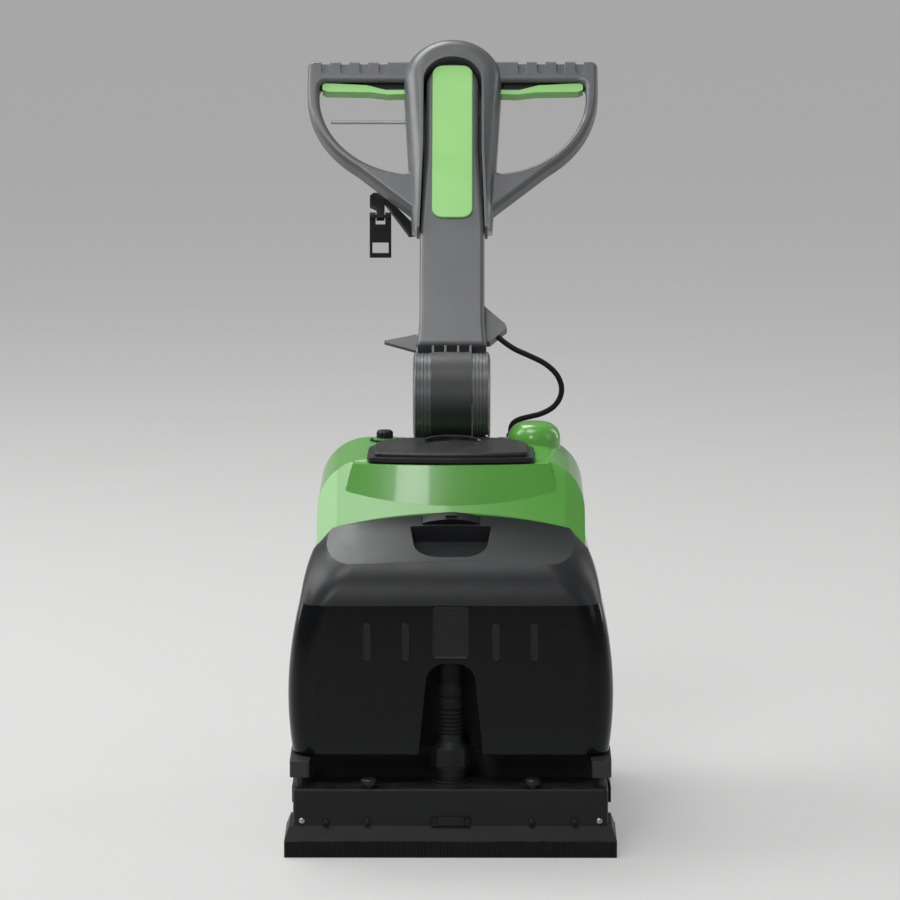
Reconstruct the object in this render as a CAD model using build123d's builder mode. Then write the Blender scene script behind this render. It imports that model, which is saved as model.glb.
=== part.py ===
"""Compact walk-behind floor scrubber with a tilting handle and a lift-off recovery tank.

Millimetres and degrees. The front faces -Y, +X is on the right seen from the front, +Z is up and
the floor is Z = 0. Most places along the machine are distances behind the front squeegee's lip.
"""

import os
from math import cos, radians, sin, sqrt, tan

from build123d import *

os.makedirs("parts", exist_ok=True)

# Fits and walls
RUN_FIT = 0.05
PART_GAP = 0.5
SWING_GAP = 0.8
WALL = 3.0

# Overall layout, behind the front lip
MACHINE_REAR = 455.0
TANK_PARTING = 130.0
SOLUTION_REAR = 330.0

# Squeegees
SQUEEGEE_WIDTH = 345.0
SQUEEGEE_DEPTH = 92.0
BLADE_THICK = 4.5
BLADE_HEIGHT = 17.0
BLADE_RIB_PITCH = 3.3
BLADE_RIB_GAP = 1.3
BLADE_RIB_DEPTH = 0.9
CARRIER_BOTTOM = 8.0
CARRIER_TOP = 31.0
CARRIER_INSET_X = 5.0
CARRIER_INSET_Y = 9.5
CHANNEL_HALF_WIDTH = 163.5
CHANNEL_TOP = 69.5
CHANNEL_ROOF = 9.5
CHANNEL_WALL = 5.0
CHANNEL_END_WALL = 13.5
PORT_BACK = 54.0
PORT_RADIUS = 21.0
PORT_HEIGHT = 3.0
GUIDE_BACK = 30.0
GUIDE_RADIUS = 4.0
KNOB_X = 85.0
KNOB_BACK = 23.0
KNOB_RADIUS = 8.5
KNOB_HEIGHT = 9.5
KNOB_NECK_RADIUS = 5.1
KNOB_NECK_HEIGHT = 2.4
KNOB_SHOULDER = 3.8
KNOB_CHAMFER = 1.5
STUD_RADIUS = 3.0
FLOAT_TRAVEL = 10.0
REAR_LIP = 360.0
REAR_PORT_X = -75.0
HANGER_INNER_X = 146.0
HANGER_OUTER_X = 167.0
HANGER_FRONT = 18.0
HANGER_CLEARANCE = 1.5
HANGER_ROUND = 4.0
PIN_CLEARANCE = 1.0
PIN_COLLAR_RISE = 2.0

# Chassis
PLATE_BOTTOM = 90.0
PLATE_TOP = 98.0
PLATE_HALF_WIDTH = 165.0
PLATE_FRONT = 100.0
PLATE_CORNER = 30.0
DECK_FRONT = 106.0
DECK_REAR = 262.0
DECK_BOTTOM = 22.0
DECK_HALF_WIDTH = 151.0
DECK_SIDE_WALL = 8.0
TUNNEL_CLEARANCE = 5.0
BELT_SIDE_GAP = 1.0

# Brush and its drive
BRUSH_BACK = 190.0
BRUSH_RADIUS = 42.0
BRUSH_CORE_RADIUS = 22.0
BRUSH_SLEEVE = 2.0
BRUSH_END_GAP = 7.0
BRUSH_SHAFT_RADIUS = 8.0
BRUSH_SHAFT_OVERHANG = 2.0
BEARING_RADIUS = 16.0
STRAND_SIZE = 3.0
STRAND_ROWS = 24
STRANDS_AROUND = 16
STRAND_TWIST = 7.5
PULLEY_WIDTH = 8.0
PULLEY_GROOVES = 3
PULLEY_GROOVE_SHARE = 0.6
BRUSH_PULLEY_RADIUS = 26.0
MOTOR_PULLEY_RADIUS = 13.0
BELT_THICK = 3.0
BELT_WIDTH = 7.0
BELT_GAP = 0.3
BELT_COVER_BOTTOM = 6.0
BELT_COVER_ROUND = 24.0
ACCESS_RADIUS = 33.6
ACCESS_BOSS_RADIUS = 25.6
ACCESS_NOSE_RADIUS = 15.4
ACCESS_RIM = 4.0
ACCESS_SHOULDER = 8.0
ACCESS_DEPTH = 12.0
ACCESS_POCKET = 6.0
ACCESS_CLEARANCE = 3.0
MOTOR_BACK = 255.0
MOTOR_Z = 146.0
MOTOR_RADIUS = 36.0
MOTOR_LENGTH = 150.0
MOTOR_SHAFT_RADIUS = 5.0
MOTOR_SHAFT_DEPTH = 20.0
MOTOR_INSET = 12.0
MOTOR_BELL_RADIUS = 28.8
MOTOR_BELL_LENGTH = 10.0
MOTOR_FOOT_INSET = 25.0
MOTOR_FOOT_HALF_DEPTH = 24.0
SPRAY_BAR_RADIUS = 4.0
SPRAY_BAR_BACK = 150.0
SPRAY_BAR_Z = 80.0
SPRAY_INLET_RISE = 14.0
SPRAY_NOZZLES = 9
SPRAY_NOZZLE_RADIUS = 1.2

# Wheels
WHEEL_RADIUS = 42.0
WHEEL_WIDTH = 24.0
WHEEL_BACK = 408.0
WHEEL_INNER_X = 99.0
WHEEL_SIDE_GAP = 1.0
WHEEL_DISH = 7.2
WHEEL_HUB_RADIUS = 13.2
WHEEL_HUB_ROOT = 14.4
WHEEL_RIM_LIP = 3.0
WHEEL_RIM_ROOT = 4.0
WHEEL_HOLES = 6
WHEEL_HOLE_RADIUS = 4.5
TYRE_THICK = 9.0
TYRE_CROWN = 2.5
AXLE_RADIUS = 6.0
AXLE_OVERHANG = 8.0
AXLE_HEAD_RADIUS = 10.2
AXLE_HEAD_CHAMFER = 2.0
CHEEK_THICK = 10.0

# Lower housing, rear cover and what they hold
HOUSING_HALF_WIDTH = 165.5
HOUSING_TOP = 204.5
HOUSING_DRAFT = 1.5
HOUSING_CORNER = 40.0
REAR_COVER_HALF_WIDTH = 150.0
REAR_COVER_TOP_HALF_WIDTH = 136.0
REAR_COVER_TOP = 350.0
REAR_COVER_DRAFT = 4.0
REAR_COVER_SHOULDER = 60.0
REAR_COVER_STEP = 2.5
REAR_COVER_ROUND = 14.0
POST_NOTCH_GAP = 4.0
CABLE_HOLE_GAP = 1.0
BATTERY_HALF_WIDTH = 100.0
BATTERY_DEPTH = 56.0
BATTERY_HEIGHT = 225.0
BATTERY_STEP = 14.0
BATTERY_ROUND = 6.0
BATTERY_TOP_ROUND = 4.0
VACUUM_X = 89.0
VACUUM_BACK = 284.0
VACUUM_RADIUS = 44.0
VACUUM_CAN_HEIGHT = 52.0
FAN_CASE_RADIUS = 50.0
FAN_CASE_HEIGHT = 32.0
FAN_INLET_RADIUS = 20.0
FAN_SHAFT_RADIUS = 4.0
FAN_SHAFT_SOCKET = 20.0
FAN_SHAFT_LENGTH = 19.0
IMPELLER_BLADES = 8
IMPELLER_RIM_GAP = 3.0
IMPELLER_END_GAP = 2.0
IMPELLER_DISC = 2.0
IMPELLER_CONE = 3.0
IMPELLER_CONE_RADIUS = 10.0
IMPELLER_HUB_RADIUS = 8.0
IMPELLER_BLADE_THICK = 1.6
IMPELLER_BLADE_SWEEP = 40.0
IMPELLER_BLADE_BITE = 1.0
PUMP_BACK = 185.0
PUMP_RADIUS = 16.0
PUMP_LEFT_X = -30.0
PUMP_RIGHT_X = 20.0
PUMP_RISE = 18.0
PUMP_FOOT_LEFT_X = -26.0
PUMP_FOOT_RIGHT_X = 16.0
PUMP_FOOT_HALF_DEPTH = 14.0
PUMP_OUTLET_X = -6.0
PUMP_OUTLET_RISE = 44.0

# Recovery tank and its cover
TANK_BOTTOM = 101.0
TANK_WIDEST_Z = 140.0
TANK_CREASE_Z = 258.0
TANK_FACE = 38.0
TANK_HALF_WIDTH = 169.0
TANK_FOOT_HALF_WIDTH = 165.0
TANK_CREASE_HALF_WIDTH = 157.0
TANK_CORNER = 28.0
TANK_FOOT_FACE = 39.0
TANK_CREASE_FACE = 41.0
TANK_SKIN_BITE = 1.0
PANEL_FOOT = 64.0
PANEL_FOOT_Z = 303.0
PANEL_FOOT_HALF_WIDTH = 144.0
PANEL_FOOT_CORNER = 52.0
PANEL_SLOPE = 29.0
PANEL_TOP_CORNER = 5.0
PANEL_RISE = 42.0
PANEL_TOP_HALF_WIDTH = 106.0
PANEL_SKIM = 0.6
PANEL_FOOT_BOW = 2.5
PANEL_FOOT_LEAD = 4.0
BULGE_FRONT = 47.0
BULGE_Z = 281.0
BULGE_HALF_WIDTH = 152.0
CROWN_Z = 340.0
CROWN_KNEE_X = 120.0
CROWN_KNEE_Z = 325.0
CROWN_EDGE_X = 142.0
CROWN_EDGE_Z = 303.0
RECESS_WIDTH = 86.0
RECESS_FOOT_WIDTH = 72.0
RECESS_LENGTH = 53.0
RECESS_DEPTH = 20.0
RECESS_ROUND = 26.0
RECESS_DRAFT = 12.0
RECESS_GAP = 2.5
LATCH_WIDTH = 60.0
LATCH_TOP_WIDTH = 12.0
LATCH_LENGTH = 12.0
LATCH_HEIGHT = 5.5
LATCH_NUB_HEIGHT = 2.5
LATCH_SETBACK = 4.0
LATCH_SINK = 3.0
LATCH_CLEARANCE = 2.5
COVER_OVERLAP = 70.0
ARCH_TOP_Z = 197.0
ARCH_TOP_WIDTH = 48.0
ARCH_FOOT_WIDTH = 67.0
ARCH_ROUND = 20.0
ARCH_DEPTH = 44.0
TANK_MARK_SIZE = (7.0, 38.0)
TANK_MARK_X = (47.0, 87.0)
TANK_MARK_Z = 220.0
TANK_MARK_PROUD = 0.8
TANK_MARK_ROUND = 2.8

# Suction hose in the arch
HOSE_RADIUS = 13.5
HOSE_VALLEY = 11.8
HOSE_BORE = 9.5
HOSE_BOTTOM_Z = 121.0
HOSE_TOP_Z = 178.0
HOSE_FINE_RIBS = 6
HOSE_FINE_PITCH = 4.2
HOSE_FAT_RIBS = 2
HOSE_CREST_START = 0.25
HOSE_CREST_END = 0.65
HOSE_VALLEY_START = 0.9
HOSE_TOP_SHARE = 0.4
CUFF_RADIUS = 20.5
CUFF_BOTTOM_Z = 83.5
CUFF_CORE_RADIUS = 17.5
CUFF_SIDES = 8
CUFF_COLLAR_FOOT = 4.0
CUFF_COLLAR_TOP = 23.0
CUFF_TAPER = 7.0
SPIGOT_RADIUS = 16.0
SPIGOT_BOTTOM_Z = 64.0
REAR_PIPE_FLANGE = 5.0
REAR_PIPE_FLANGE_THICK = 6.0
REAR_PIPE_LENGTH = 20.0

# Solution tank
GREEN_BOTTOM = 205.0
GREEN_WAIST_Z = 300.0
GREEN_HALF_WIDTH = 141.0
GREEN_SHOULDER_ROUND = 52.0
GREEN_WAIST_ROUND = 60.0
GREEN_TOP_Z = 390.0
GREEN_FLANK_HALF_WIDTH = 163.0
COLLAR_TOP_Z = 388.0
COLLAR_FOOT_Z = 338.0
COLLAR_FRONT = 133.0
COLLAR_BOW = 18.0
COLLAR_HALF_WIDTH = 118.0
COLLAR_DRAFT = 16.0
COLLAR_SLOPE = 52.0
COLLAR_CORNER = 9.0
CAVITY_FRONT = 166.0
CAVITY_TOE = 138.0
CAVITY_HALF_WIDTH = 98.0
CAVITY_TOP = 320.0
POST_NOTCH_HALF_WIDTH = 50.0
POST_NOTCH_FRONT = 296.0
MOUTH_HALF_WIDTH = 70.0
MOUTH_FRONT = 172.0
MOUTH_REAR = 258.0
MOUTH_ROUND = 20.0
DUCT_X = 89.0
DUCT_BACK = 300.0
DUCT_RADIUS = 28.0
DUCT_TOP_Z = 411.0
DUCT_DOME = 17.0
CAP_X = -72.0
CAP_BACK = 306.0
CAP_RADIUS = 9.0
CAP_HEIGHT = 8.0
CAP_CHAMFER = 2.0
CAP_STUD = 7.5
CAP_STUD_HOLE = 8.0
CAP_SEAT_RADIUS = 12.6
CAP_SEAT_HEIGHT = 3.0
CAP_FLUTES = 10
CAP_FLUTE_RADIUS = 1.3
CAP_FLUTE_OFFSET = 0.4

# Lid
LID_FRONT = 156.0
LID_DEPTH = 112.0
LID_HALF_WIDTH = 82.0
LID_SKIRT = 6.0
LID_SKIRT_THICK = 4.5
LID_TOP_Z = 399.5
LID_REAR_ROUND = 48.0
LID_FRONT_ROUND = 10.0
LID_CHAMFER = 2.0
LID_PLUG = 5.0
LID_PLUG_GAP = 2.0
GASKET_THICK = 2.0
GASKET_WIDTH = 6.0
PULL_WIDTH = 56.0
PULL_HEIGHT = 4.5
PULL_THICK = 9.0
PULL_REAR_INSET = 12.0

# Handle hinge
HINGE_BACK = 340.0
HINGE_Z = 433.0
LEAN = 42.0
DRUM_RADIUS = 48.0
KNUCKLE_HALF_WIDTH = 22.0
HINGE_SIDE_GAP = 0.1
CHEEK_OUTER_X = 37.5
CHEEK_GROOVES = 3
CHEEK_RADIUS = 46.5
CHEEK_GROOVE_WIDTH = 1.2
CHEEK_GROOVE_DEPTH = 0.8
HINGE_PIN_RADIUS = 9.0
HINGE_CAP_THICK = 4.3
HINGE_CAP_EDGE = 1.7
HINGE_CAP_CROWN = 0.8
HINGE_CAP_BEVEL = 3.0
HINGE_CAP_FACE = 8.0
POST_HALF_WIDTH = 36.0
POST_FOOT_HALF_WIDTH = 46.0
POST_FOOT_THICK = 8.0
POST_FRONT_REACH = 28.0
POST_REAR_REACH = 34.0
POST_FOOT_LEAD = 12.0
POST_FOOT_TAIL = 6.0
POST_SHOULDER_GAP = 8.0
POST_TAPER_FRONT = 4.0
POST_TAPER_REAR = 6.0
POST_ROUND = 5.0
KNUCKLE_FRONT_STEP = 6.0
KNUCKLE_REAR_STEP = 8.0
KNUCKLE_ROOT = 10.0

# Handle, in its own plane: across, along from the hinge, and proud of its middle plane
COLUMN_FOOT = 57.0
COLUMN_FOOT_HALF_WIDTH = 37.5
COLUMN_HALF_WIDTH = 35.5
COLUMN_FLARE = 60.0
COLUMN_NECK = 88.0
COLUMN_HALF_THICK = 16.0
TONGUE_HALF_WIDTH = 29.0
TONGUE_STRAIGHT = 317.0
TONGUE_RISE = 4.0
COLUMN_ROUND = 5.0
YOKE_RIB_X = (7.0, 20.4)
YOKE_RIB_THICK = 2.6
YOKE_RIB_BACK = 8.0
YOKE_ARM_FRONT = 0.0
LOOP_OUTER_X = 162.5
LOOP_OUTER_SPRING = 405.0
LOOP_OUTER_BEND = 131.0
LOOP_OUTER_TURN = 55.0
LOOP_INNER_END_X = 149.0
LOOP_INNER_BEND = 108.5
LOOP_INNER_DROP = 19.0
LOOP_INNER_X = 46.0
LOOP_ROOT_X = 42.0
LOOP_ROOT_RISE = 30.0
LOOP_ROOT_BLEND = 60.0
LOOP_BURIED_X = 24.0
LOOP_CORNER = 8.0
LOOP_OPENING_CORNER = 9.0
LOOP_HALF_THICK = 11.0
LOOP_ROUND = 5.0
GRIP_RISE = 40.5
GRIP_BAR = 28.0
FINGER_NOTCH_X = 78.0
FINGER_NOTCH_PITCH = 21.5
FINGER_NOTCHES = 4
FINGER_NOTCH_WIDTH = 9.5
FINGER_NOTCH_LENGTH = 19.5
FINGER_NOTCH_DEPTH = 2.5
FINGER_NOTCH_ROUND = 4.0
HEAD_LENGTH = 267.0
HEAD_FOOT_HALF_WIDTH = 43.5
HEAD_FOOT_SLANT = 28.0
HEAD_HALF_WIDTH = 55.0
HEAD_DOME = 56.5
HEAD_OVER_GRIP = 29.5
HEAD_FRONT = 23.0
HEAD_BACK = 30.0
HEAD_FRONT_ROUND = 20.0
HEAD_BACK_ROUND = 12.0
CHANNEL_MARGIN = 3.5
CHANNEL_BELOW_TOP = 33.5
LIP_WIDTH = 3.0
LIP_PROUD = 0.6
INSERT_HALF_WIDTH = 22.5
INSERT_FOOT_RISE = 16.5
INSERT_LENGTH = 208.5
INSERT_ROUND = 12.0
INSERT_PROUD = 2.5

# Handle places that follow from the sizes above
LOOP_TOP = LOOP_OUTER_SPRING + GRIP_RISE
LOOP_OPENING_TOP = LOOP_TOP - GRIP_BAR
LOOP_INNER_SPRING = LOOP_OPENING_TOP - LOOP_INNER_DROP
HEAD_TOP = LOOP_TOP + HEAD_OVER_GRIP
HEAD_SPRING = HEAD_TOP - HEAD_DOME
HEAD_FOOT = HEAD_TOP - HEAD_LENGTH
LOOP_ROOT = (LOOP_ROOT_X, HEAD_FOOT + LOOP_ROOT_RISE)
TONGUE_START = HEAD_FOOT + TONGUE_RISE
TONGUE_TOP = HEAD_TOP - CHANNEL_BELOW_TOP - CHANNEL_MARGIN
INSERT_FOOT = HEAD_FOOT + INSERT_FOOT_RISE

# Triggers and levers on the handle
TRIGGER_HALF_THICK = 5.5
TRIGGER_PIVOT_X = 48.0
TRIGGER_PIVOT_DROP = 12.0
TRIGGER_END_X = 146.0
TRIGGER_DEPTH = 12.0
TRIGGER_TAIL = 3.0
TRIGGER_NECK = 24.0
TRIGGER_PAD_TOP = 48.0
TRIGGER_PAD_LOW = 44.0
TRIGGER_PAD_DROP = 1.0
TRIGGER_TIP_TOP = 2.0
TRIGGER_TIP_LOW = 5.0
TRIGGER_SLOT_RISE = 16.0
TRIGGER_HUB = 6.0
LEVER_PIN_RADIUS = 2.5
LEVER_PIN_GRIP = 2.0
FLOW_ROD_RADIUS = 2.0
FLOW_ROD_DROP = 43.5
FLOW_ROD_END_X = 136.0
FLOW_ROD_PROUD = -10.0
FLOW_PIVOT_X = 46.0
FLOW_HUB = 5.5
FLOW_HUB_HALF = 3.5
FLOW_POCKET_HALF = 8.0
LOCK_PIVOT_X = 33.0
LOCK_ALONG = 72.0
LOCK_TIP_X = 73.5
LOCK_TIP_ALONG = 70.2
LOCK_TIP_HEIGHT = 2.0
LOCK_ROOT_TOP = 79.5
LOCK_ROOT_LOW = 57.5
LOCK_HALF_THICK = 2.5
LOCK_HUB = 6.0
LOCK_SLOT_HALF = 14.0
GUARD_TOP = 119.0
GUARD_TIP_X = 60.0
GUARD_TIP_ALONG = 90.0
GUARD_FOOT = 72.0
GUARD_LIP = 3.9
GUARD_TIP_SIZE = (2.0, 6.0)
GUARD_HALF_THICK = 5.0
GUARD_MIDDLE = -6.0
HOOK_THICK = 7.0
HOOK_REACH = 92.0
HOOK_RISE = 84.0
HOOK_PIN_RISE = 54.0
HOOK_ARM_RISE = (28.0, 46.0)
HOOK_ARM_DROP = 12.0
HOOK_ROOT_FLARE = 4.0
HOOK_ROOT_CUT = 8.0
HOOK_BEND_X = 36.0
HOOK_BEND_RISE = 2.0
HOOK_ELBOW_LOW_X = 48.0
HOOK_ELBOW_HIGH_X = 46.0
HOOK_ELBOW_DROP = 1.0
HOOK_CORNER = 4.0
HOOK_TIP_WIDTH = 14.0
HOOK_LEG_STEP = (10.0, 14.0)
HOOK_ROOT_X = 8.0
HOOK_PIN_RADIUS = 2.0
HOOK_LEG_WIDTH = 9.0
CLIP_WIDTH = 24.0
CLIP_LENGTH = 46.0
CLIP_THICK = 5.0
CLIP_EYE_WALL = 2.5
CLIP_WINDOW_RISE = 5.0
CLIP_WINDOW = (18.0, 12.0)
PANEL_HALF_WIDTH = 32.0
PANEL_LENGTH_ALONG = 128.0
PANEL_BELOW_TOP = 47.0
PANEL_PLATE = 3.0
PANEL_PLATE_ROUND = 12.0
PANEL_PLATE_EDGE = 1.5
BUTTON_RADIUS = 9.0
BUTTON_BELOW_TOP = (133.0, 85.0)
BUTTON_PROUD = 3.0
BUTTON_POCKET = 4.0
BUTTON_ROOT = 1.0
BUTTON_EDGE = 1.0

# Control cable, hinge side to rear cover
CABLE_RADIUS = 3.0
GLAND_X = 64.0
GLAND_BACK = 375.0
GLAND_RADIUS = 6.0
GLAND_HEIGHT = 39.5
GLAND_FLANGE = 9.0
GLAND_NOSE_WALL = 1.5
CABLE_LEAD = 18.0
CABLE_ROUTE = (
    (84.0, 386.0, 471.0),
    (102.0, 383.0, 463.0),
    (116.0, 382.0, 450.0),
    (121.0, 381.0, 433.0),
    (114.0, 380.0, 417.0),
    (99.0, 379.0, 408.0),
    (84.0, 377.0, 405.0),
    (71.5, 375.8, 402.0),
)
CABLE_DROP = 9.0
CABLE_BEND_SHARE = 0.45

# The machine stands with the middle of its length over the origin
HEAD_REAR = (
    HINGE_BACK
    + (HEAD_TOP - HEAD_BACK_ROUND) * sin(radians(LEAN))
    + (HEAD_BACK - HEAD_BACK_ROUND) * cos(radians(LEAN))
    + HEAD_BACK_ROUND
)
FRONT_Y = -HEAD_REAR / 2
TRIGGER_PIVOT_ALONG = LOOP_OPENING_TOP - TRIGGER_PIVOT_DROP
FLOW_ROD_ALONG = LOOP_OPENING_TOP - FLOW_ROD_DROP
HOOK_TOP = HEAD_FOOT + HOOK_RISE
HOOK_PIN_ALONG = HEAD_FOOT + HOOK_PIN_RISE
PANEL_TOP_ALONG = HEAD_TOP - PANEL_BELOW_TOP
PANEL_FOOT_ALONG = PANEL_TOP_ALONG - PANEL_LENGTH_ALONG
BUTTON_ALONG = [HEAD_TOP - below for below in BUTTON_BELOW_TOP]


def y_at(back):
    """Row Y of a place that lies this far behind the front lip."""
    return FRONT_Y + back


def save(piece, name):
    """Label a finished piece and write it to its own file."""
    piece.part.label = name
    export_step(piece.part, f"parts/{name}.step")


def block(low, high, mode=Mode.ADD):
    """Box between two corners, in the workplane of the part being built."""
    size = [abs(b - a) for a, b in zip(low, high)]
    centre = [(a + b) / 2 for a, b in zip(low, high)]
    with Locations(tuple(centre)):
        Box(*size, mode=mode)


def turn_x(points, y, z, mode=Mode.ADD):
    """Turned form about an axis along X; points are (x, radius)."""
    plane = Plane(origin=(0, y, z), x_dir=(1, 0, 0), z_dir=(0, -1, 0))
    with BuildSketch(plane) as profile:
        with BuildLine():
            Polyline(*points, close=True)
        make_face()
    revolve(profile.sketch, axis=Axis((0, y, z), (1, 0, 0)), mode=mode)


def turn_z(points, x, y, mode=Mode.ADD):
    """Turned form about a vertical axis; points are (radius, z)."""
    plane = Plane(origin=(x, y, 0), x_dir=(1, 0, 0), z_dir=(0, -1, 0))
    with BuildSketch(plane) as profile:
        with BuildLine():
            Polyline(*points, close=True)
        make_face()
    revolve(profile.sketch, axis=Axis((x, y, 0), (0, 0, 1)), mode=mode)


def rod_x(radius, x0, x1, y, z, mode=Mode.ADD):
    """Round rod along X between two places."""
    turn_x([(x0, 0), (x1, 0), (x1, radius), (x0, radius)], y, z, mode)


def rod_z(radius, z0, z1, x, y, mode=Mode.ADD):
    """Round upright rod between two heights."""
    turn_z([(0, z0), (radius, z0), (radius, z1), (0, z1)], x, y, mode)


BRUSH_Y = y_at(BRUSH_BACK)
BRUSH_Z = BRUSH_RADIUS
MOTOR_Y = y_at(MOTOR_BACK)
TUNNEL_RADIUS = BRUSH_RADIUS + TUNNEL_CLEARANCE
TUNNEL_HALF_WIDTH = DECK_HALF_WIDTH - DECK_SIDE_WALL
WHEEL_Y = y_at(WHEEL_BACK)
GUIDE_X = CHANNEL_HALF_WIDTH - CHANNEL_END_WALL / 2
HINGE_Y = y_at(HINGE_BACK)
handle_plane = Plane(
    origin=(0, HINGE_Y, HINGE_Z),
    x_dir=(1, 0, 0),
    z_dir=(0, -cos(radians(LEAN)), sin(radians(LEAN))),
)
handle_normal = Axis(handle_plane.origin, handle_plane.z_dir)


def handle_block(low, high, mode=Mode.ADD):
    """Box between two corners given in the handle's own plane."""
    with Locations(handle_plane):
        block(low, high, mode)


def handle_rod(radius, x, along, low, high, mode=Mode.ADD):
    """Round rod square to the handle's plane, between two heights proud of it."""
    with Locations(handle_plane):
        with Locations((x, along, (low + high) / 2)):
            Cylinder(radius, high - low, mode=mode)


# Squeegees: the front one faces forward, the rear one is turned round
def squeegee(side, lip_y, facing, port_x):
    """Channel body, blade carrier, blades and thumb knobs of one squeegee."""

    def back(distance):
        return lip_y - facing * distance

    middle = back(SQUEEGEE_DEPTH / 2)
    half_width = SQUEEGEE_WIDTH / 2
    holder_depth = SQUEEGEE_DEPTH - 2 * BLADE_THICK
    top_width = SQUEEGEE_WIDTH - 2 * CARRIER_INSET_X
    top_depth = holder_depth - 2 * CARRIER_INSET_Y
    channel_front = BLADE_THICK + CARRIER_INSET_Y
    channel_rear = SQUEEGEE_DEPTH - channel_front
    cavity_half_width = CHANNEL_HALF_WIDTH - CHANNEL_END_WALL
    cavity_front = channel_front + CHANNEL_WALL
    cavity_rear = channel_rear - CHANNEL_WALL
    roof = CHANNEL_TOP - CHANNEL_ROOF

    with BuildPart() as channel:
        block(
            (-CHANNEL_HALF_WIDTH, back(channel_front), CARRIER_TOP),
            (CHANNEL_HALF_WIDTH, back(channel_rear), CHANNEL_TOP),
        )
        fillet(channel.edges().filter_by(Axis.Z), CHANNEL_WALL)
        fillet(channel.edges().group_by(Axis.Z)[-1], CHANNEL_WALL / 2)
        rod_z(PORT_RADIUS, CHANNEL_TOP, CHANNEL_TOP + PORT_HEIGHT, port_x, back(PORT_BACK))
        block(
            (-cavity_half_width, back(cavity_front), CARRIER_TOP),
            (cavity_half_width, back(cavity_rear), roof),
            Mode.SUBTRACT,
        )
        port_top = CHANNEL_TOP + PORT_HEIGHT
        rod_z(SPIGOT_RADIUS + PART_GAP / 2, roof, port_top, port_x, back(PORT_BACK), Mode.SUBTRACT)
        for x in (-GUIDE_X, GUIDE_X):
            rod_z(GUIDE_RADIUS + RUN_FIT, CARRIER_TOP, CHANNEL_TOP, x, back(GUIDE_BACK), Mode.SUBTRACT)
        for x in (-KNOB_X, KNOB_X):
            rod_z(STUD_RADIUS + RUN_FIT, roof, CHANNEL_TOP, x, back(KNOB_BACK), Mode.SUBTRACT)
    save(channel, f"{side}_squeegee_channel")

    with BuildPart() as carrier:
        with BuildSketch(Plane.XY.offset(CARRIER_BOTTOM)):
            with Locations((0, middle)):
                Rectangle(SQUEEGEE_WIDTH, holder_depth)
        extrude(amount=BLADE_HEIGHT - CARRIER_BOTTOM)
        with BuildSketch(Plane.XY.offset(BLADE_HEIGHT)) as foot:
            with Locations((0, middle)):
                Rectangle(SQUEEGEE_WIDTH, holder_depth)
        with BuildSketch(Plane.XY.offset(CARRIER_TOP)) as head:
            with Locations((0, middle)):
                Rectangle(top_width, top_depth)
        loft(sections=[foot.sketch, head.sketch], ruled=True)
        block(
            (-cavity_half_width, back(cavity_front), CARRIER_BOTTOM),
            (cavity_half_width, back(cavity_rear), CARRIER_TOP),
            Mode.SUBTRACT,
        )
    save(carrier, f"{side}_blade_carrier")

    with BuildPart() as blades:
        block((-half_width, back(0), 0), (half_width, back(BLADE_THICK), BLADE_HEIGHT))
        ribs = int(SQUEEGEE_WIDTH / BLADE_RIB_PITCH) - 1
        with Locations((0, back(0), BLADE_HEIGHT / 2)):
            with GridLocations(BLADE_RIB_PITCH, 1, ribs, 1):
                Box(BLADE_RIB_GAP, 2 * BLADE_RIB_DEPTH, BLADE_HEIGHT, mode=Mode.SUBTRACT)
        inner = SQUEEGEE_DEPTH - BLADE_THICK
        block((-half_width, back(inner), 0), (half_width, back(SQUEEGEE_DEPTH), BLADE_HEIGHT))
    save(blades, f"{side}_squeegee_blades")

    with BuildPart() as knobs:
        for x in (-KNOB_X, KNOB_X):
            top = CHANNEL_TOP + KNOB_HEIGHT
            neck = KNOB_NECK_RADIUS
            turn_z(
                [
                    (0, roof),
                    (STUD_RADIUS, roof),
                    (STUD_RADIUS, CHANNEL_TOP),
                    (neck, CHANNEL_TOP),
                    (neck, CHANNEL_TOP + KNOB_NECK_HEIGHT),
                    (KNOB_RADIUS, CHANNEL_TOP + KNOB_SHOULDER),
                    (KNOB_RADIUS, top - KNOB_CHAMFER),
                    (KNOB_RADIUS - KNOB_CHAMFER, top),
                    (0, top),
                ],
                x,
                back(KNOB_BACK),
            )
    save(knobs, f"{side}_squeegee_knobs")


squeegee("front", y_at(0), -1, 0)
squeegee("rear", y_at(REAR_LIP), 1, REAR_PORT_X)

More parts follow.
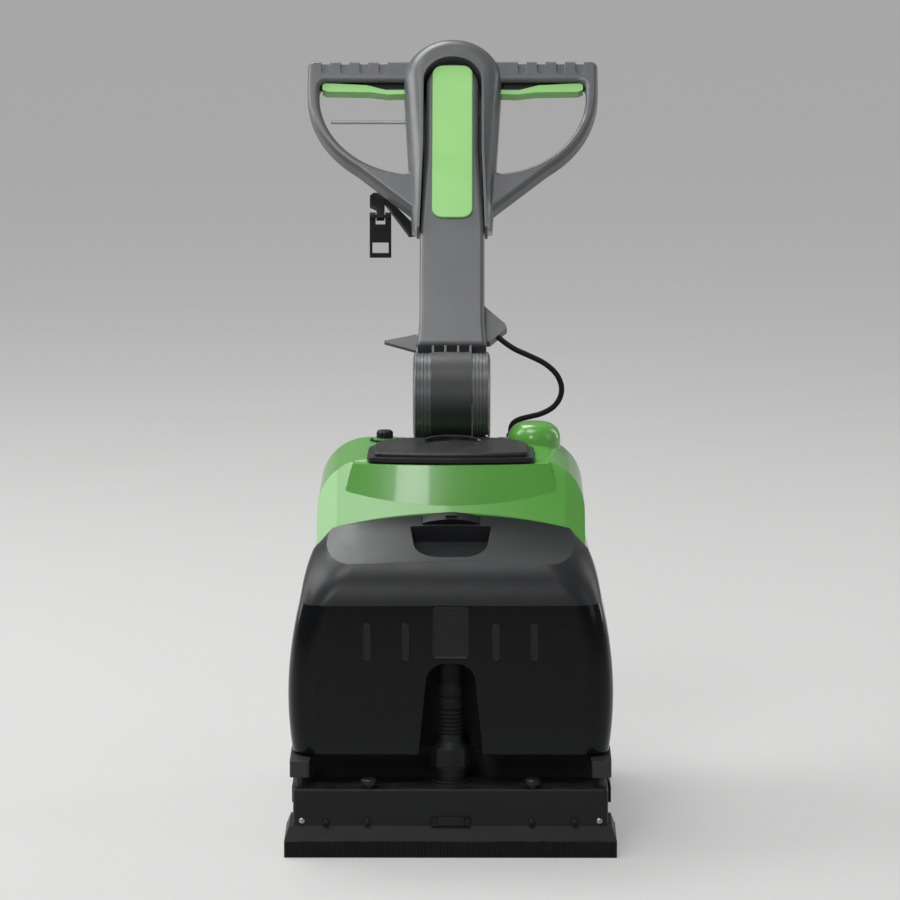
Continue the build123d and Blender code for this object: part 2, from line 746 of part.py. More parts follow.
# Hangers: brackets in front and pins under the plate behind, on which the squeegees float
HANGER_BOTTOM = CHANNEL_TOP + FLOAT_TRAVEL + HANGER_CLEARANCE
PIN_BOTTOM = CARRIER_TOP + FLOAT_TRAVEL + PIN_CLEARANCE
with BuildPart() as hangers:
    for side in (-1, 1):
        deck_x = DECK_HALF_WIDTH + PART_GAP
        block(
            (side * HANGER_INNER_X, y_at(HANGER_FRONT), HANGER_BOTTOM),
            (side * HANGER_OUTER_X, y_at(PLATE_FRONT - PART_GAP), PLATE_TOP),
        )
        block(
            (side * deck_x, y_at(PLATE_FRONT - PART_GAP), HANGER_BOTTOM),
            (side * HANGER_OUTER_X, y_at(SPRAY_BAR_BACK), PLATE_BOTTOM),
        )
        rod_z(GUIDE_RADIUS, PIN_BOTTOM, PLATE_BOTTOM, side * GUIDE_X, y_at(GUIDE_BACK))
        rear_y = y_at(REAR_LIP - GUIDE_BACK)
        rod_z(GUIDE_RADIUS, PIN_BOTTOM, PLATE_BOTTOM, side * GUIDE_X, rear_y)
        rod_z(2 * GUIDE_RADIUS, HANGER_BOTTOM + PIN_COLLAR_RISE, PLATE_BOTTOM, side * GUIDE_X, rear_y)
    nose = (y_at(HANGER_FRONT - WALL), y_at(HANGER_FRONT + WALL))
    fillet(hangers.edges().filter_by(Axis.Z).filter_by_position(Axis.Y, *nose), HANGER_ROUND)
save(hangers, "squeegee_hangers")

# Chassis: deep brush deck in front, flat plate behind, cheeks for the axle
REAR_PORT_Y = y_at(REAR_LIP - PORT_BACK)
BELT_X = -(DECK_HALF_WIDTH + BELT_SIDE_GAP)
with BuildPart() as chassis:
    with BuildSketch(Plane.XY.offset(PLATE_BOTTOM)) as plate:
        with BuildLine():
            Polyline(
                (-PLATE_HALF_WIDTH, y_at(PLATE_FRONT)),
                (PLATE_HALF_WIDTH, y_at(PLATE_FRONT)),
                (PLATE_HALF_WIDTH, y_at(MACHINE_REAR)),
                (-PLATE_HALF_WIDTH, y_at(MACHINE_REAR)),
                close=True,
            )
        make_face()
        fillet(plate.vertices().group_by(Axis.Y)[-1], PLATE_CORNER)
    extrude(amount=PLATE_TOP - PLATE_BOTTOM)
    block(
        (-DECK_HALF_WIDTH, y_at(DECK_FRONT), DECK_BOTTOM),
        (DECK_HALF_WIDTH, y_at(DECK_REAR), PLATE_BOTTOM),
    )
    rod_x(TUNNEL_RADIUS, -TUNNEL_HALF_WIDTH, TUNNEL_HALF_WIDTH, BRUSH_Y, BRUSH_Z, Mode.SUBTRACT)
    block(
        (-TUNNEL_HALF_WIDTH, BRUSH_Y - TUNNEL_RADIUS, 0),
        (TUNNEL_HALF_WIDTH, BRUSH_Y + TUNNEL_RADIUS, BRUSH_Z),
        Mode.SUBTRACT,
    )
    spray_room = 2 * SPRAY_BAR_RADIUS
    block(
        (-TUNNEL_HALF_WIDTH, y_at(SPRAY_BAR_BACK) - spray_room, SPRAY_BAR_Z - spray_room),
        (TUNNEL_HALF_WIDTH, y_at(SPRAY_BAR_BACK) + spray_room, SPRAY_BAR_Z + spray_room),
        Mode.SUBTRACT,
    )
    rod_z(SPRAY_BAR_RADIUS + RUN_FIT, SPRAY_BAR_Z, PLATE_TOP, 0, y_at(SPRAY_BAR_BACK), Mode.SUBTRACT)
    rod_x(BEARING_RADIUS, -DECK_HALF_WIDTH, DECK_HALF_WIDTH, BRUSH_Y, BRUSH_Z, Mode.SUBTRACT)
    block(
        (-PLATE_HALF_WIDTH, BRUSH_Y - BRUSH_PULLEY_RADIUS, PLATE_BOTTOM),
        (BELT_X, MOTOR_Y + MOTOR_PULLEY_RADIUS + 3 * BELT_THICK, PLATE_TOP),
        Mode.SUBTRACT,
    )
    rod_z(SPIGOT_RADIUS + RUN_FIT, PLATE_BOTTOM, PLATE_TOP, REAR_PORT_X, REAR_PORT_Y, Mode.SUBTRACT)
    cheek_half_depth = 3 * AXLE_RADIUS
    for side in (-1, 1):
        cheek_outer = WHEEL_INNER_X - WHEEL_SIDE_GAP
        block(
            (side * (cheek_outer - CHEEK_THICK), WHEEL_Y - cheek_half_depth, WHEEL_RADIUS),
            (side * cheek_outer, WHEEL_Y + cheek_half_depth, PLATE_BOTTOM),
        )
        x_pair = sorted((side * (cheek_outer - CHEEK_THICK), side * cheek_outer))
        rod_x(cheek_half_depth, *x_pair, WHEEL_Y, WHEEL_RADIUS)
        rod_x(AXLE_RADIUS + RUN_FIT, *x_pair, WHEEL_Y, WHEEL_RADIUS, Mode.SUBTRACT)
save(chassis, "chassis")

# Brush: shaft, core, and a sleeve of radial strands in rising rows
BRUSH_HALF_LENGTH = TUNNEL_HALF_WIDTH - BRUSH_END_GAP
PULLEY_OUTER_X = BELT_X - PULLEY_WIDTH
with BuildPart() as brush_shaft:
    rod_x(BRUSH_SHAFT_RADIUS, PULLEY_OUTER_X, DECK_HALF_WIDTH + BRUSH_SHAFT_OVERHANG, BRUSH_Y, BRUSH_Z)
save(brush_shaft, "brush_shaft")

with BuildPart() as brush_core:
    rod_x(BRUSH_CORE_RADIUS, -BRUSH_HALF_LENGTH, BRUSH_HALF_LENGTH, BRUSH_Y, BRUSH_Z)
    rod_x(
        BRUSH_SHAFT_RADIUS + RUN_FIT, -BRUSH_HALF_LENGTH, BRUSH_HALF_LENGTH, BRUSH_Y, BRUSH_Z, Mode.SUBTRACT
    )
save(brush_core, "brush_core")

with BuildPart() as brush_bristles:
    sleeve_outer = BRUSH_CORE_RADIUS + BRUSH_SLEEVE
    sleeve_inner = BRUSH_CORE_RADIUS + RUN_FIT
    rod_x(sleeve_outer, -BRUSH_HALF_LENGTH, BRUSH_HALF_LENGTH, BRUSH_Y, BRUSH_Z)
    rod_x(sleeve_inner, -BRUSH_HALF_LENGTH, BRUSH_HALF_LENGTH, BRUSH_Y, BRUSH_Z, Mode.SUBTRACT)
    strand_root = sleeve_outer - BRUSH_SLEEVE / 2
    strand_length = sqrt(BRUSH_RADIUS**2 - (STRAND_SIZE / 2) ** 2) - strand_root
    row_pitch = 2 * (BRUSH_HALF_LENGTH - 2 * STRAND_SIZE) / (STRAND_ROWS - 1)
    strands = []
    for row in range(STRAND_ROWS):
        x = -BRUSH_HALF_LENGTH + 2 * STRAND_SIZE + row * row_pitch
        for step in range(STRANDS_AROUND):
            turn = step * 360 / STRANDS_AROUND + row * STRAND_TWIST
            strands.append(Location((x, BRUSH_Y, BRUSH_Z), (turn, 0, 0)))
    with Locations(*strands):
        with Locations((0, 0, strand_root + strand_length / 2)):
            Box(STRAND_SIZE, STRAND_SIZE, strand_length)
save(brush_bristles, "brush_bristles")

with BuildPart() as bearings:
    for x0, x1 in ((-DECK_HALF_WIDTH, -TUNNEL_HALF_WIDTH), (TUNNEL_HALF_WIDTH, DECK_HALF_WIDTH)):
        inner = BRUSH_SHAFT_RADIUS + RUN_FIT
        outer = BEARING_RADIUS - RUN_FIT
        turn_x([(x0, inner), (x1, inner), (x1, outer), (x0, outer)], BRUSH_Y, BRUSH_Z)
save(bearings, "brush_bearings")


# Belt drive on the left: two grooved pulleys and a flat belt
def pulley_profile(radius, bore):
    """Half section of a grooved pulley, as (x, radius) points."""
    pitch = PULLEY_WIDTH / (PULLEY_GROOVES + 1)
    groove = pitch * PULLEY_GROOVE_SHARE
    points = [(PULLEY_OUTER_X, bore), (PULLEY_OUTER_X, radius)]
    for index in range(PULLEY_GROOVES):
        x = PULLEY_OUTER_X + (index + 1) * pitch
        points += [(x - groove / 2, radius), (x, radius - groove), (x + groove / 2, radius)]
    points += [(BELT_X, radius), (BELT_X, bore)]
    return points


with BuildPart() as brush_pulley:
    turn_x(pulley_profile(BRUSH_PULLEY_RADIUS, BRUSH_SHAFT_RADIUS + RUN_FIT), BRUSH_Y, BRUSH_Z)
save(brush_pulley, "brush_pulley")

MOTOR_END_X = -(DECK_HALF_WIDTH - MOTOR_INSET)
with BuildPart() as motor_pulley:
    turn_x(pulley_profile(MOTOR_PULLEY_RADIUS, 0), MOTOR_Y, MOTOR_Z)
    rod_x(MOTOR_SHAFT_RADIUS, BELT_X, MOTOR_END_X + MOTOR_SHAFT_DEPTH, MOTOR_Y, MOTOR_Z)
save(motor_pulley, "motor_pulley")

with BuildPart() as drive_belt:
    belt_plane = Plane(origin=(BELT_X - PULLEY_WIDTH / 2, 0, 0), x_dir=(0, 1, 0), z_dir=(1, 0, 0))
    for extra, mode in ((BELT_GAP + BELT_THICK, Mode.ADD), (BELT_GAP, Mode.SUBTRACT)):
        with BuildSketch(belt_plane):
            with Locations((BRUSH_Y, BRUSH_Z)):
                Circle(BRUSH_PULLEY_RADIUS + extra)
            with Locations((MOTOR_Y, MOTOR_Z)):
                Circle(MOTOR_PULLEY_RADIUS + extra)
            make_hull()
        extrude(amount=BELT_WIDTH / 2, both=True, mode=mode)
save(drive_belt, "drive_belt")

with BuildPart() as brush_motor:
    far_end = MOTOR_END_X + MOTOR_LENGTH
    turn_x(
        [
            (MOTOR_END_X, 0),
            (MOTOR_END_X, MOTOR_BELL_RADIUS),
            (MOTOR_END_X + MOTOR_BELL_LENGTH, MOTOR_RADIUS),
            (far_end - MOTOR_BELL_LENGTH, MOTOR_RADIUS),
            (far_end, MOTOR_BELL_RADIUS),
            (far_end, 0),
        ],
        MOTOR_Y,
        MOTOR_Z,
    )
    block(
        (MOTOR_END_X + MOTOR_FOOT_INSET, MOTOR_Y - MOTOR_FOOT_HALF_DEPTH, PLATE_TOP),
        (far_end - MOTOR_FOOT_INSET, MOTOR_Y + MOTOR_FOOT_HALF_DEPTH, MOTOR_Z - MOTOR_RADIUS / 2),
    )
    socket_end = MOTOR_END_X + MOTOR_SHAFT_DEPTH + PART_GAP
    rod_x(MOTOR_SHAFT_RADIUS + RUN_FIT, MOTOR_END_X, socket_end, MOTOR_Y, MOTOR_Z, Mode.SUBTRACT)
save(brush_motor, "brush_motor")

COVER_DEPTH = HOUSING_HALF_WIDTH - DECK_HALF_WIDTH
with BuildPart() as belt_cover:
    for inset, depth, mode in ((0, COVER_DEPTH, Mode.ADD), (WALL, COVER_DEPTH - WALL, Mode.SUBTRACT)):
        with BuildSketch(Plane.YZ.offset(-DECK_HALF_WIDTH)) as outline:
            with BuildLine():
                top = PLATE_BOTTOM if mode == Mode.ADD else PLATE_BOTTOM + WALL
                low = BELT_COVER_BOTTOM + inset
                Polyline(
                    (BRUSH_Y - BRUSH_PULLEY_RADIUS - 4 * BELT_THICK + inset, top),
                    (BRUSH_Y - BRUSH_PULLEY_RADIUS - 4 * BELT_THICK + inset, low),
                    (y_at(DECK_REAR) - inset, low),
                    (y_at(DECK_REAR) - inset, top),
                    close=True,
                )
            make_face()
            fillet(outline.vertices().group_by(Axis.Y)[0].sort_by(Axis.Z)[0], BELT_COVER_ROUND - inset)
            fillet(outline.vertices().group_by(Axis.Y)[-1].sort_by(Axis.Z)[0], BELT_COVER_ROUND - inset)
        extrude(amount=-depth, mode=mode)
save(belt_cover, "belt_cover")

with BuildPart() as access_cover:
    cap_x = DECK_HALF_WIDTH
    pocket_radius = BRUSH_SHAFT_RADIUS + ACCESS_CLEARANCE
    turn_x(
        [
            (cap_x, pocket_radius),
            (cap_x, ACCESS_RADIUS),
            (cap_x + ACCESS_RIM, ACCESS_RADIUS),
            (cap_x + ACCESS_SHOULDER, ACCESS_BOSS_RADIUS),
            (cap_x + ACCESS_DEPTH, ACCESS_NOSE_RADIUS),
            (cap_x + ACCESS_DEPTH, 0),
            (cap_x + ACCESS_POCKET, 0),
            (cap_x + ACCESS_POCKET, pocket_radius),
        ],
        BRUSH_Y,
        BRUSH_Z,
    )
save(access_cover, "brush_access_cover")

with BuildPart() as spray_bar:
    spray_y = y_at(SPRAY_BAR_BACK)
    rod_x(SPRAY_BAR_RADIUS, -TUNNEL_HALF_WIDTH, TUNNEL_HALF_WIDTH, spray_y, SPRAY_BAR_Z)
    rod_z(SPRAY_BAR_RADIUS, SPRAY_BAR_Z, PLATE_TOP + SPRAY_INLET_RISE, 0, spray_y)
    nozzle_pitch = 2 * TUNNEL_HALF_WIDTH / (SPRAY_NOZZLES + 1)
    with Locations((0, spray_y, SPRAY_BAR_Z - SPRAY_BAR_RADIUS)):
        with GridLocations(nozzle_pitch, 1, SPRAY_NOZZLES, 1):
            Cylinder(SPRAY_NOZZLE_RADIUS, SPRAY_BAR_RADIUS, mode=Mode.SUBTRACT)
save(spray_bar, "spray_bar")

# Wheels on a fixed axle
with BuildPart() as axle:
    axle_end = WHEEL_INNER_X + WHEEL_WIDTH + AXLE_OVERHANG
    head = AXLE_HEAD_RADIUS
    bevel = AXLE_HEAD_CHAMFER
    wheel_outer = WHEEL_INNER_X + WHEEL_WIDTH + WHEEL_SIDE_GAP
    turn_x(
        [
            (-axle_end, 0),
            (-axle_end, head - bevel),
            (-axle_end + bevel, head),
            (-wheel_outer, head),
            (-wheel_outer, AXLE_RADIUS),
            (wheel_outer, AXLE_RADIUS),
            (wheel_outer, head),
            (axle_end - bevel, head),
            (axle_end, head - bevel),
            (axle_end, 0),
        ],
        WHEEL_Y,
        WHEEL_RADIUS,
    )
save(axle, "wheel_axle")

for side, name in ((-1, "left"), (1, "right")):
    inner_x = side * WHEEL_INNER_X
    outer_x = side * (WHEEL_INNER_X + WHEEL_WIDTH)
    rim = WHEEL_RADIUS - TYRE_THICK
    with BuildPart() as hub:
        x0, x1 = sorted((inner_x, outer_x))
        dish = WHEEL_DISH
        turn_x(
            [
                (x0, AXLE_RADIUS + RUN_FIT),
                (x0, WHEEL_HUB_RADIUS),
                (x0 + dish, WHEEL_HUB_ROOT),
                (x0 + dish, rim - WHEEL_RIM_ROOT),
                (x0, rim - WHEEL_RIM_LIP),
                (x0, rim),
                (x1, rim),
                (x1, rim - WHEEL_RIM_LIP),
                (x1 - dish, rim - WHEEL_RIM_ROOT),
                (x1 - dish, WHEEL_HUB_ROOT),
                (x1, WHEEL_HUB_RADIUS),
                (x1, AXLE_RADIUS + RUN_FIT),
            ],
            WHEEL_Y,
            WHEEL_RADIUS,
        )
        with Locations(Location((0, WHEEL_Y, WHEEL_RADIUS), (0, 90, 0))):
            with PolarLocations((WHEEL_HUB_ROOT + rim - WHEEL_RIM_ROOT) / 2, WHEEL_HOLES):
                Cylinder(WHEEL_HOLE_RADIUS, 4 * WHEEL_INNER_X, mode=Mode.SUBTRACT)
    save(hub, f"{name}_wheel")
    with BuildPart() as tyre:
        crown = TYRE_CROWN
        turn_x(
            [
                (x0, rim + RUN_FIT),
                (x0, WHEEL_RADIUS - crown),
                (x0 + crown, WHEEL_RADIUS),
                (x1 - crown, WHEEL_RADIUS),
                (x1, WHEEL_RADIUS - crown),
                (x1, rim + RUN_FIT),
            ],
            WHEEL_Y,
            WHEEL_RADIUS,
        )
    save(tyre, f"{name}_tyre")


# Lower housing: a drafted skirt open at its top and bottom
def plan_outline(front, rear, half_width, corner, height, inset=0.0):
    """Plan of a cover, square in front and rounded at its rear corners."""
    with BuildSketch(Plane.XY.offset(height)) as outline:
        with BuildLine():
            Polyline(
                (-half_width + inset, y_at(front) + inset),
                (half_width - inset, y_at(front) + inset),
                (half_width - inset, y_at(rear) - inset),
                (-half_width + inset, y_at(rear) - inset),
                close=True,
            )
        make_face()
        fillet(outline.vertices().group_by(Axis.Y)[-1], corner - inset)
    return outline.sketch


HOUSING_FRONT = TANK_PARTING + PART_GAP
with BuildPart() as motor_housing:
    housing_height = HOUSING_TOP - PLATE_TOP
    skirt = (HOUSING_FRONT, MACHINE_REAR, HOUSING_HALF_WIDTH, HOUSING_CORNER, PLATE_TOP)
    extrude(plan_outline(*skirt), amount=housing_height, taper=HOUSING_DRAFT)
    extrude(plan_outline(*skirt, WALL), amount=housing_height, taper=HOUSING_DRAFT, mode=Mode.SUBTRACT)
save(motor_housing, "motor_housing")

# Rear cover: tall drafted shell with a notch for the post
POST_NOTCH_REAR = HINGE_BACK + DRUM_RADIUS + POST_NOTCH_GAP
LEDGE_Z = REAR_COVER_TOP - REAR_COVER_STEP


def rear_shell(inset, top):
    """Round-shouldered block behind the solution tank, shrunk all round by an inset."""
    with BuildPart(mode=Mode.PRIVATE) as shell:
        foot_half = REAR_COVER_HALF_WIDTH - inset
        top_half = REAR_COVER_TOP_HALF_WIDTH - inset
        with BuildSketch(Plane.XZ.offset(-y_at(MACHINE_REAR))) as profile:
            with BuildLine():
                Polyline(
                    (-foot_half, GREEN_BOTTOM),
                    (foot_half, GREEN_BOTTOM),
                    (top_half, top),
                    (-top_half, top),
                    close=True,
                )
            make_face()
            fillet(profile.vertices().group_by(Axis.Y)[-1], REAR_COVER_SHOULDER - inset)
        extrude(amount=MACHINE_REAR - SOLUTION_REAR - PART_GAP)
        front = SOLUTION_REAR + PART_GAP
        extrude(
            plan_outline(front, MACHINE_REAR, REAR_COVER_HALF_WIDTH, HOUSING_CORNER, GREEN_BOTTOM, inset),
            amount=REAR_COVER_TOP - GREEN_BOTTOM,
            taper=REAR_COVER_DRAFT,
            mode=Mode.INTERSECT,
        )
        rear = y_at(MACHINE_REAR) - inset - (top - GREEN_BOTTOM) * tan(radians(REAR_COVER_DRAFT)) / 2
        with BuildSketch(Plane.YZ) as side:
            with BuildLine():
                Polyline(
                    (y_at(SOLUTION_REAR), GREEN_BOTTOM),
                    (y_at(MACHINE_REAR), GREEN_BOTTOM),
                    (rear, top),
                    (y_at(SOLUTION_REAR), top),
                    close=True,
                )
            make_face()
            fillet(side.vertices().sort_by(Axis.X)[2:].sort_by(Axis.Y)[-1], REAR_COVER_ROUND)
        extrude(amount=REAR_COVER_HALF_WIDTH, both=True, mode=Mode.INTERSECT)
    return shell.part


with BuildPart() as rear_cover:
    add(rear_shell(0, REAR_COVER_TOP))
    add(rear_shell(WALL, LEDGE_Z - WALL), mode=Mode.SUBTRACT)
    block(
        (-POST_NOTCH_HALF_WIDTH, y_at(SOLUTION_REAR), GREEN_BOTTOM),
        (POST_NOTCH_HALF_WIDTH, y_at(POST_NOTCH_REAR), REAR_COVER_TOP),
        Mode.SUBTRACT,
    )
    block(
        (-REAR_COVER_HALF_WIDTH, y_at(SOLUTION_REAR), LEDGE_Z),
        (REAR_COVER_HALF_WIDTH, y_at(POST_NOTCH_REAR), 2 * REAR_COVER_TOP),
        Mode.SUBTRACT,
    )
    cable_hole = CABLE_RADIUS + CABLE_HOLE_GAP
    rod_z(cable_hole, LEDGE_Z - 2 * WALL, LEDGE_Z, GLAND_X, y_at(GLAND_BACK), Mode.SUBTRACT)
save(rear_cover, "rear_cover")

with BuildPart() as battery:
    battery_rear = y_at(MACHINE_REAR) - BATTERY_STEP
    block(
        (-BATTERY_HALF_WIDTH, battery_rear - BATTERY_DEPTH, PLATE_TOP),
        (BATTERY_HALF_WIDTH, battery_rear, PLATE_TOP + BATTERY_HEIGHT),
    )
    fillet(battery.edges().filter_by(Axis.Z), BATTERY_ROUND)
    fillet(battery.edges().group_by(Axis.Z)[-1], BATTERY_TOP_ROUND)
save(battery, "battery_pack")

# Vacuum motor with its fan case, and the impeller that turns in it
VACUUM_Y = y_at(VACUUM_BACK)
FAN_BOTTOM = PLATE_TOP + VACUUM_CAN_HEIGHT
FAN_TOP = FAN_BOTTOM + FAN_CASE_HEIGHT
with BuildPart() as vacuum_motor:
    turn_z(
        [
            (0, PLATE_TOP),
            (VACUUM_RADIUS, PLATE_TOP),
            (VACUUM_RADIUS, FAN_BOTTOM),
            (FAN_CASE_RADIUS, FAN_BOTTOM),
            (FAN_CASE_RADIUS, FAN_TOP),
            (FAN_INLET_RADIUS + WALL, FAN_TOP),
            (FAN_INLET_RADIUS + WALL, GREEN_BOTTOM),
            (FAN_INLET_RADIUS, GREEN_BOTTOM),
            (FAN_INLET_RADIUS, FAN_TOP - WALL),
            (FAN_CASE_RADIUS - WALL, FAN_TOP - WALL),
            (FAN_CASE_RADIUS - WALL, FAN_BOTTOM + WALL),
            (FAN_SHAFT_RADIUS + RUN_FIT, FAN_BOTTOM + WALL),
            (FAN_SHAFT_RADIUS + RUN_FIT, FAN_BOTTOM - FAN_SHAFT_SOCKET),
            (0, FAN_BOTTOM - FAN_SHAFT_SOCKET),
        ],
        VACUUM_X,
        VACUUM_Y,
    )
save(vacuum_motor, "vacuum_motor")

with BuildPart() as impeller:
    disc = FAN_CASE_RADIUS - WALL - IMPELLER_RIM_GAP
    disc_bottom = FAN_BOTTOM + WALL + IMPELLER_END_GAP
    blade_top = FAN_TOP - WALL - IMPELLER_END_GAP
    turn_z(
        [
            (0, FAN_BOTTOM - FAN_SHAFT_LENGTH),
            (FAN_SHAFT_RADIUS, FAN_BOTTOM - FAN_SHAFT_LENGTH),
            (FAN_SHAFT_RADIUS, disc_bottom),
            (disc, disc_bottom),
            (disc, disc_bottom + IMPELLER_DISC),
            (IMPELLER_CONE_RADIUS, disc_bottom + IMPELLER_CONE),
            (IMPELLER_HUB_RADIUS, blade_top),
            (0, blade_top),
        ],
        VACUUM_X,
        VACUUM_Y,
    )
    with BuildSketch(mode=Mode.PRIVATE) as blade:
        with BuildLine():
            sweep_angle = radians(IMPELLER_BLADE_SWEEP)
            tip_radius = disc - IMPELLER_BLADE_BITE
            inner_end = (IMPELLER_HUB_RADIUS - IMPELLER_BLADE_BITE, 0)
            outer_end = (tip_radius * cos(sweep_angle), tip_radius * sin(sweep_angle))
            RadiusArc(inner_end, outer_end, disc)
        trace(line_width=IMPELLER_BLADE_THICK)
    with BuildSketch(Plane.XY.offset(disc_bottom + IMPELLER_BLADE_BITE)):
        with Locations((VACUUM_X, VACUUM_Y)):
            with PolarLocations(0, IMPELLER_BLADES):
                add(blade.sketch)
    extrude(amount=blade_top - disc_bottom - IMPELLER_BLADE_BITE)
save(impeller, "impeller")

with BuildPart() as water_pump:
    pump_y = y_at(PUMP_BACK)
    pump_z = PLATE_TOP + PUMP_RISE
    rod_x(PUMP_RADIUS, PUMP_LEFT_X, PUMP_RIGHT_X, pump_y, pump_z)
    block(
        (PUMP_FOOT_LEFT_X, pump_y - PUMP_FOOT_HALF_DEPTH, PLATE_TOP),
        (PUMP_FOOT_RIGHT_X, pump_y + PUMP_FOOT_HALF_DEPTH, pump_z),
    )
    rod_z(SPRAY_BAR_RADIUS, pump_z, PLATE_TOP + PUMP_OUTLET_RISE, PUMP_OUTLET_X, pump_y)
save(water_pump, "water_pump")


# Recovery tank: a rounded shell with an arch in front for the suction hose
def tank_section(height, half_width, front, corner, rear, inset=0.0):
    """Plan of the front tank, rounded at its front corners."""
    with BuildSketch(Plane.XY.offset(height)) as section:
        with BuildLine():
            Polyline(
                (-half_width + inset, y_at(rear) - inset),
                (-half_width + inset, y_at(front) + inset),
                (half_width - inset, y_at(front) + inset),
                (half_width - inset, y_at(rear) - inset),
                close=True,
            )
        make_face()
        fillet(section.vertices().group_by(Axis.Y)[0], corner - inset)
    return section.sketch


def tank_walls(inset):
    """Sections of the tank from its foot to its crease."""
    levels = (
        (TANK_BOTTOM + inset, TANK_FOOT_HALF_WIDTH, TANK_FOOT_FACE),
        (TANK_WIDEST_Z, TANK_HALF_WIDTH, TANK_FACE),
        (TANK_CREASE_Z, TANK_CREASE_HALF_WIDTH, TANK_CREASE_FACE),
    )
    return [tank_section(*level, TANK_CORNER, TANK_PARTING, inset) for level in levels]


def hose_arch(rear, margin):
    """Front view of the hose arch, drawn at the back of the arch."""
    with BuildSketch(Plane.XZ.offset(-y_at(rear))) as outline:
        with BuildLine():
            foot = ARCH_FOOT_WIDTH / 2 + margin
            head = ARCH_TOP_WIDTH / 2 + margin
            Polyline(
                (-foot, TANK_BOTTOM),
                (foot, TANK_BOTTOM),
                (head, ARCH_TOP_Z + margin),
                (-head, ARCH_TOP_Z + margin),
                close=True,
            )
        make_face()
        fillet(outline.vertices().group_by(Axis.Y)[-1], ARCH_ROUND)
    return outline.sketch


PORT_Y = y_at(PORT_BACK)
ARCH_REAR = TANK_FACE + ARCH_DEPTH
with BuildPart() as recovery_tank:
    loft(sections=tank_walls(0))
    loft(sections=tank_walls(WALL), mode=Mode.SUBTRACT)
    extrude(hose_arch(ARCH_REAR + WALL, WALL), amount=ARCH_DEPTH + TANK_SKIN_BITE)
    with BuildSketch(Plane.XZ.offset(-y_at(TANK_FACE + WALL))):
        for x in TANK_MARK_X:
            with Locations((-x, TANK_MARK_Z), (x, TANK_MARK_Z)):
                RectangleRounded(*TANK_MARK_SIZE, TANK_MARK_ROUND)
    extrude(amount=TANK_SKIN_BITE + TANK_MARK_PROUD)
    extrude(hose_arch(ARCH_REAR, 0), amount=ARCH_DEPTH + 2 * WALL, mode=Mode.SUBTRACT)
    rod_z(HOSE_RADIUS, HOSE_TOP_Z, ARCH_TOP_Z + WALL / 2, 0, PORT_Y)
    rod_z(HOSE_BORE, HOSE_TOP_Z, ARCH_TOP_Z + 2 * WALL, 0, PORT_Y, Mode.SUBTRACT)
save(recovery_tank, "recovery_tank")

# Suction hose: fine ribs below, two fat ribs above, each through four circles
HOSE_FINE_TOP = HOSE_BOTTOM_Z + HOSE_FINE_RIBS * HOSE_FINE_PITCH
HOSE_FAT_PITCH = (HOSE_TOP_Z - HOSE_FINE_TOP) / (HOSE_FAT_RIBS + HOSE_TOP_SHARE)
with BuildPart() as suction_hose:
    rings = []
    for count, pitch, start in (
        (HOSE_FINE_RIBS, HOSE_FINE_PITCH, HOSE_BOTTOM_Z),
        (HOSE_FAT_RIBS, HOSE_FAT_PITCH, HOSE_FINE_TOP),
    ):
        for rib in range(count):
            base = start + rib * pitch
            rings.append((base, HOSE_VALLEY))
            rings.append((base + HOSE_CREST_START * pitch, HOSE_RADIUS))
            rings.append((base + HOSE_CREST_END * pitch, HOSE_RADIUS))
            rings.append((base + HOSE_VALLEY_START * pitch, HOSE_VALLEY))
    rings.append((HOSE_TOP_Z, HOSE_VALLEY))
    circles = []
    for height, radius in rings:
        with BuildSketch(Plane.XY.offset(height)) as ring:
            with Locations((0, PORT_Y)):
                Circle(radius)
        circles.append(ring.sketch)
    loft(sections=circles, ruled=True)
    rod_z(HOSE_BORE, HOSE_BOTTOM_Z, HOSE_TOP_Z, 0, PORT_Y, Mode.SUBTRACT)
save(suction_hose, "suction_hose")

CUFF_COLLAR = (CUFF_BOTTOM_Z + CUFF_COLLAR_FOOT, CUFF_BOTTOM_Z + CUFF_COLLAR_TOP)
with BuildPart() as hose_cuff:
    turn_z(
        [
            (0, SPIGOT_BOTTOM_Z),
            (SPIGOT_RADIUS, SPIGOT_BOTTOM_Z),
            (SPIGOT_RADIUS, CUFF_BOTTOM_Z),
            (CUFF_CORE_RADIUS, CUFF_BOTTOM_Z),
            (CUFF_CORE_RADIUS, CUFF_COLLAR[1]),
            (HOSE_RADIUS, CUFF_COLLAR[1] + CUFF_TAPER),
            (HOSE_RADIUS, HOSE_BOTTOM_Z),
            (0, HOSE_BOTTOM_Z),
        ],
        0,
        PORT_Y,
    )
    with BuildSketch(Plane.XY.offset(CUFF_COLLAR[0])):
        with Locations((0, PORT_Y)):
            RegularPolygon(CUFF_RADIUS, CUFF_SIDES)
    extrude(amount=CUFF_COLLAR[1] - CUFF_COLLAR[0])
    rod_z(HOSE_BORE, SPIGOT_BOTTOM_Z, HOSE_BOTTOM_Z, 0, PORT_Y, Mode.SUBTRACT)
save(hose_cuff, "hose_cuff")

# Cover of the recovery tank: a bulging lower band and a flat sloping panel with a grip recess
PANEL_LENGTH = (TANK_PARTING - PANEL_FOOT) / cos(radians(PANEL_SLOPE))
panel_plane = Plane(
    origin=(0, y_at(PANEL_FOOT), PANEL_FOOT_Z),
    x_dir=(1, 0, 0),
    z_dir=(0, -sin(radians(PANEL_SLOPE)), cos(radians(PANEL_SLOPE))),
)
LATCH_FOOT = PANEL_LENGTH - LATCH_LENGTH - LATCH_SETBACK
LATCH_POCKET = LATCH_SINK + LATCH_CLEARANCE
RECESS_TOP = LATCH_FOOT - RECESS_GAP
COVER_REAR = TANK_PARTING + COVER_OVERLAP


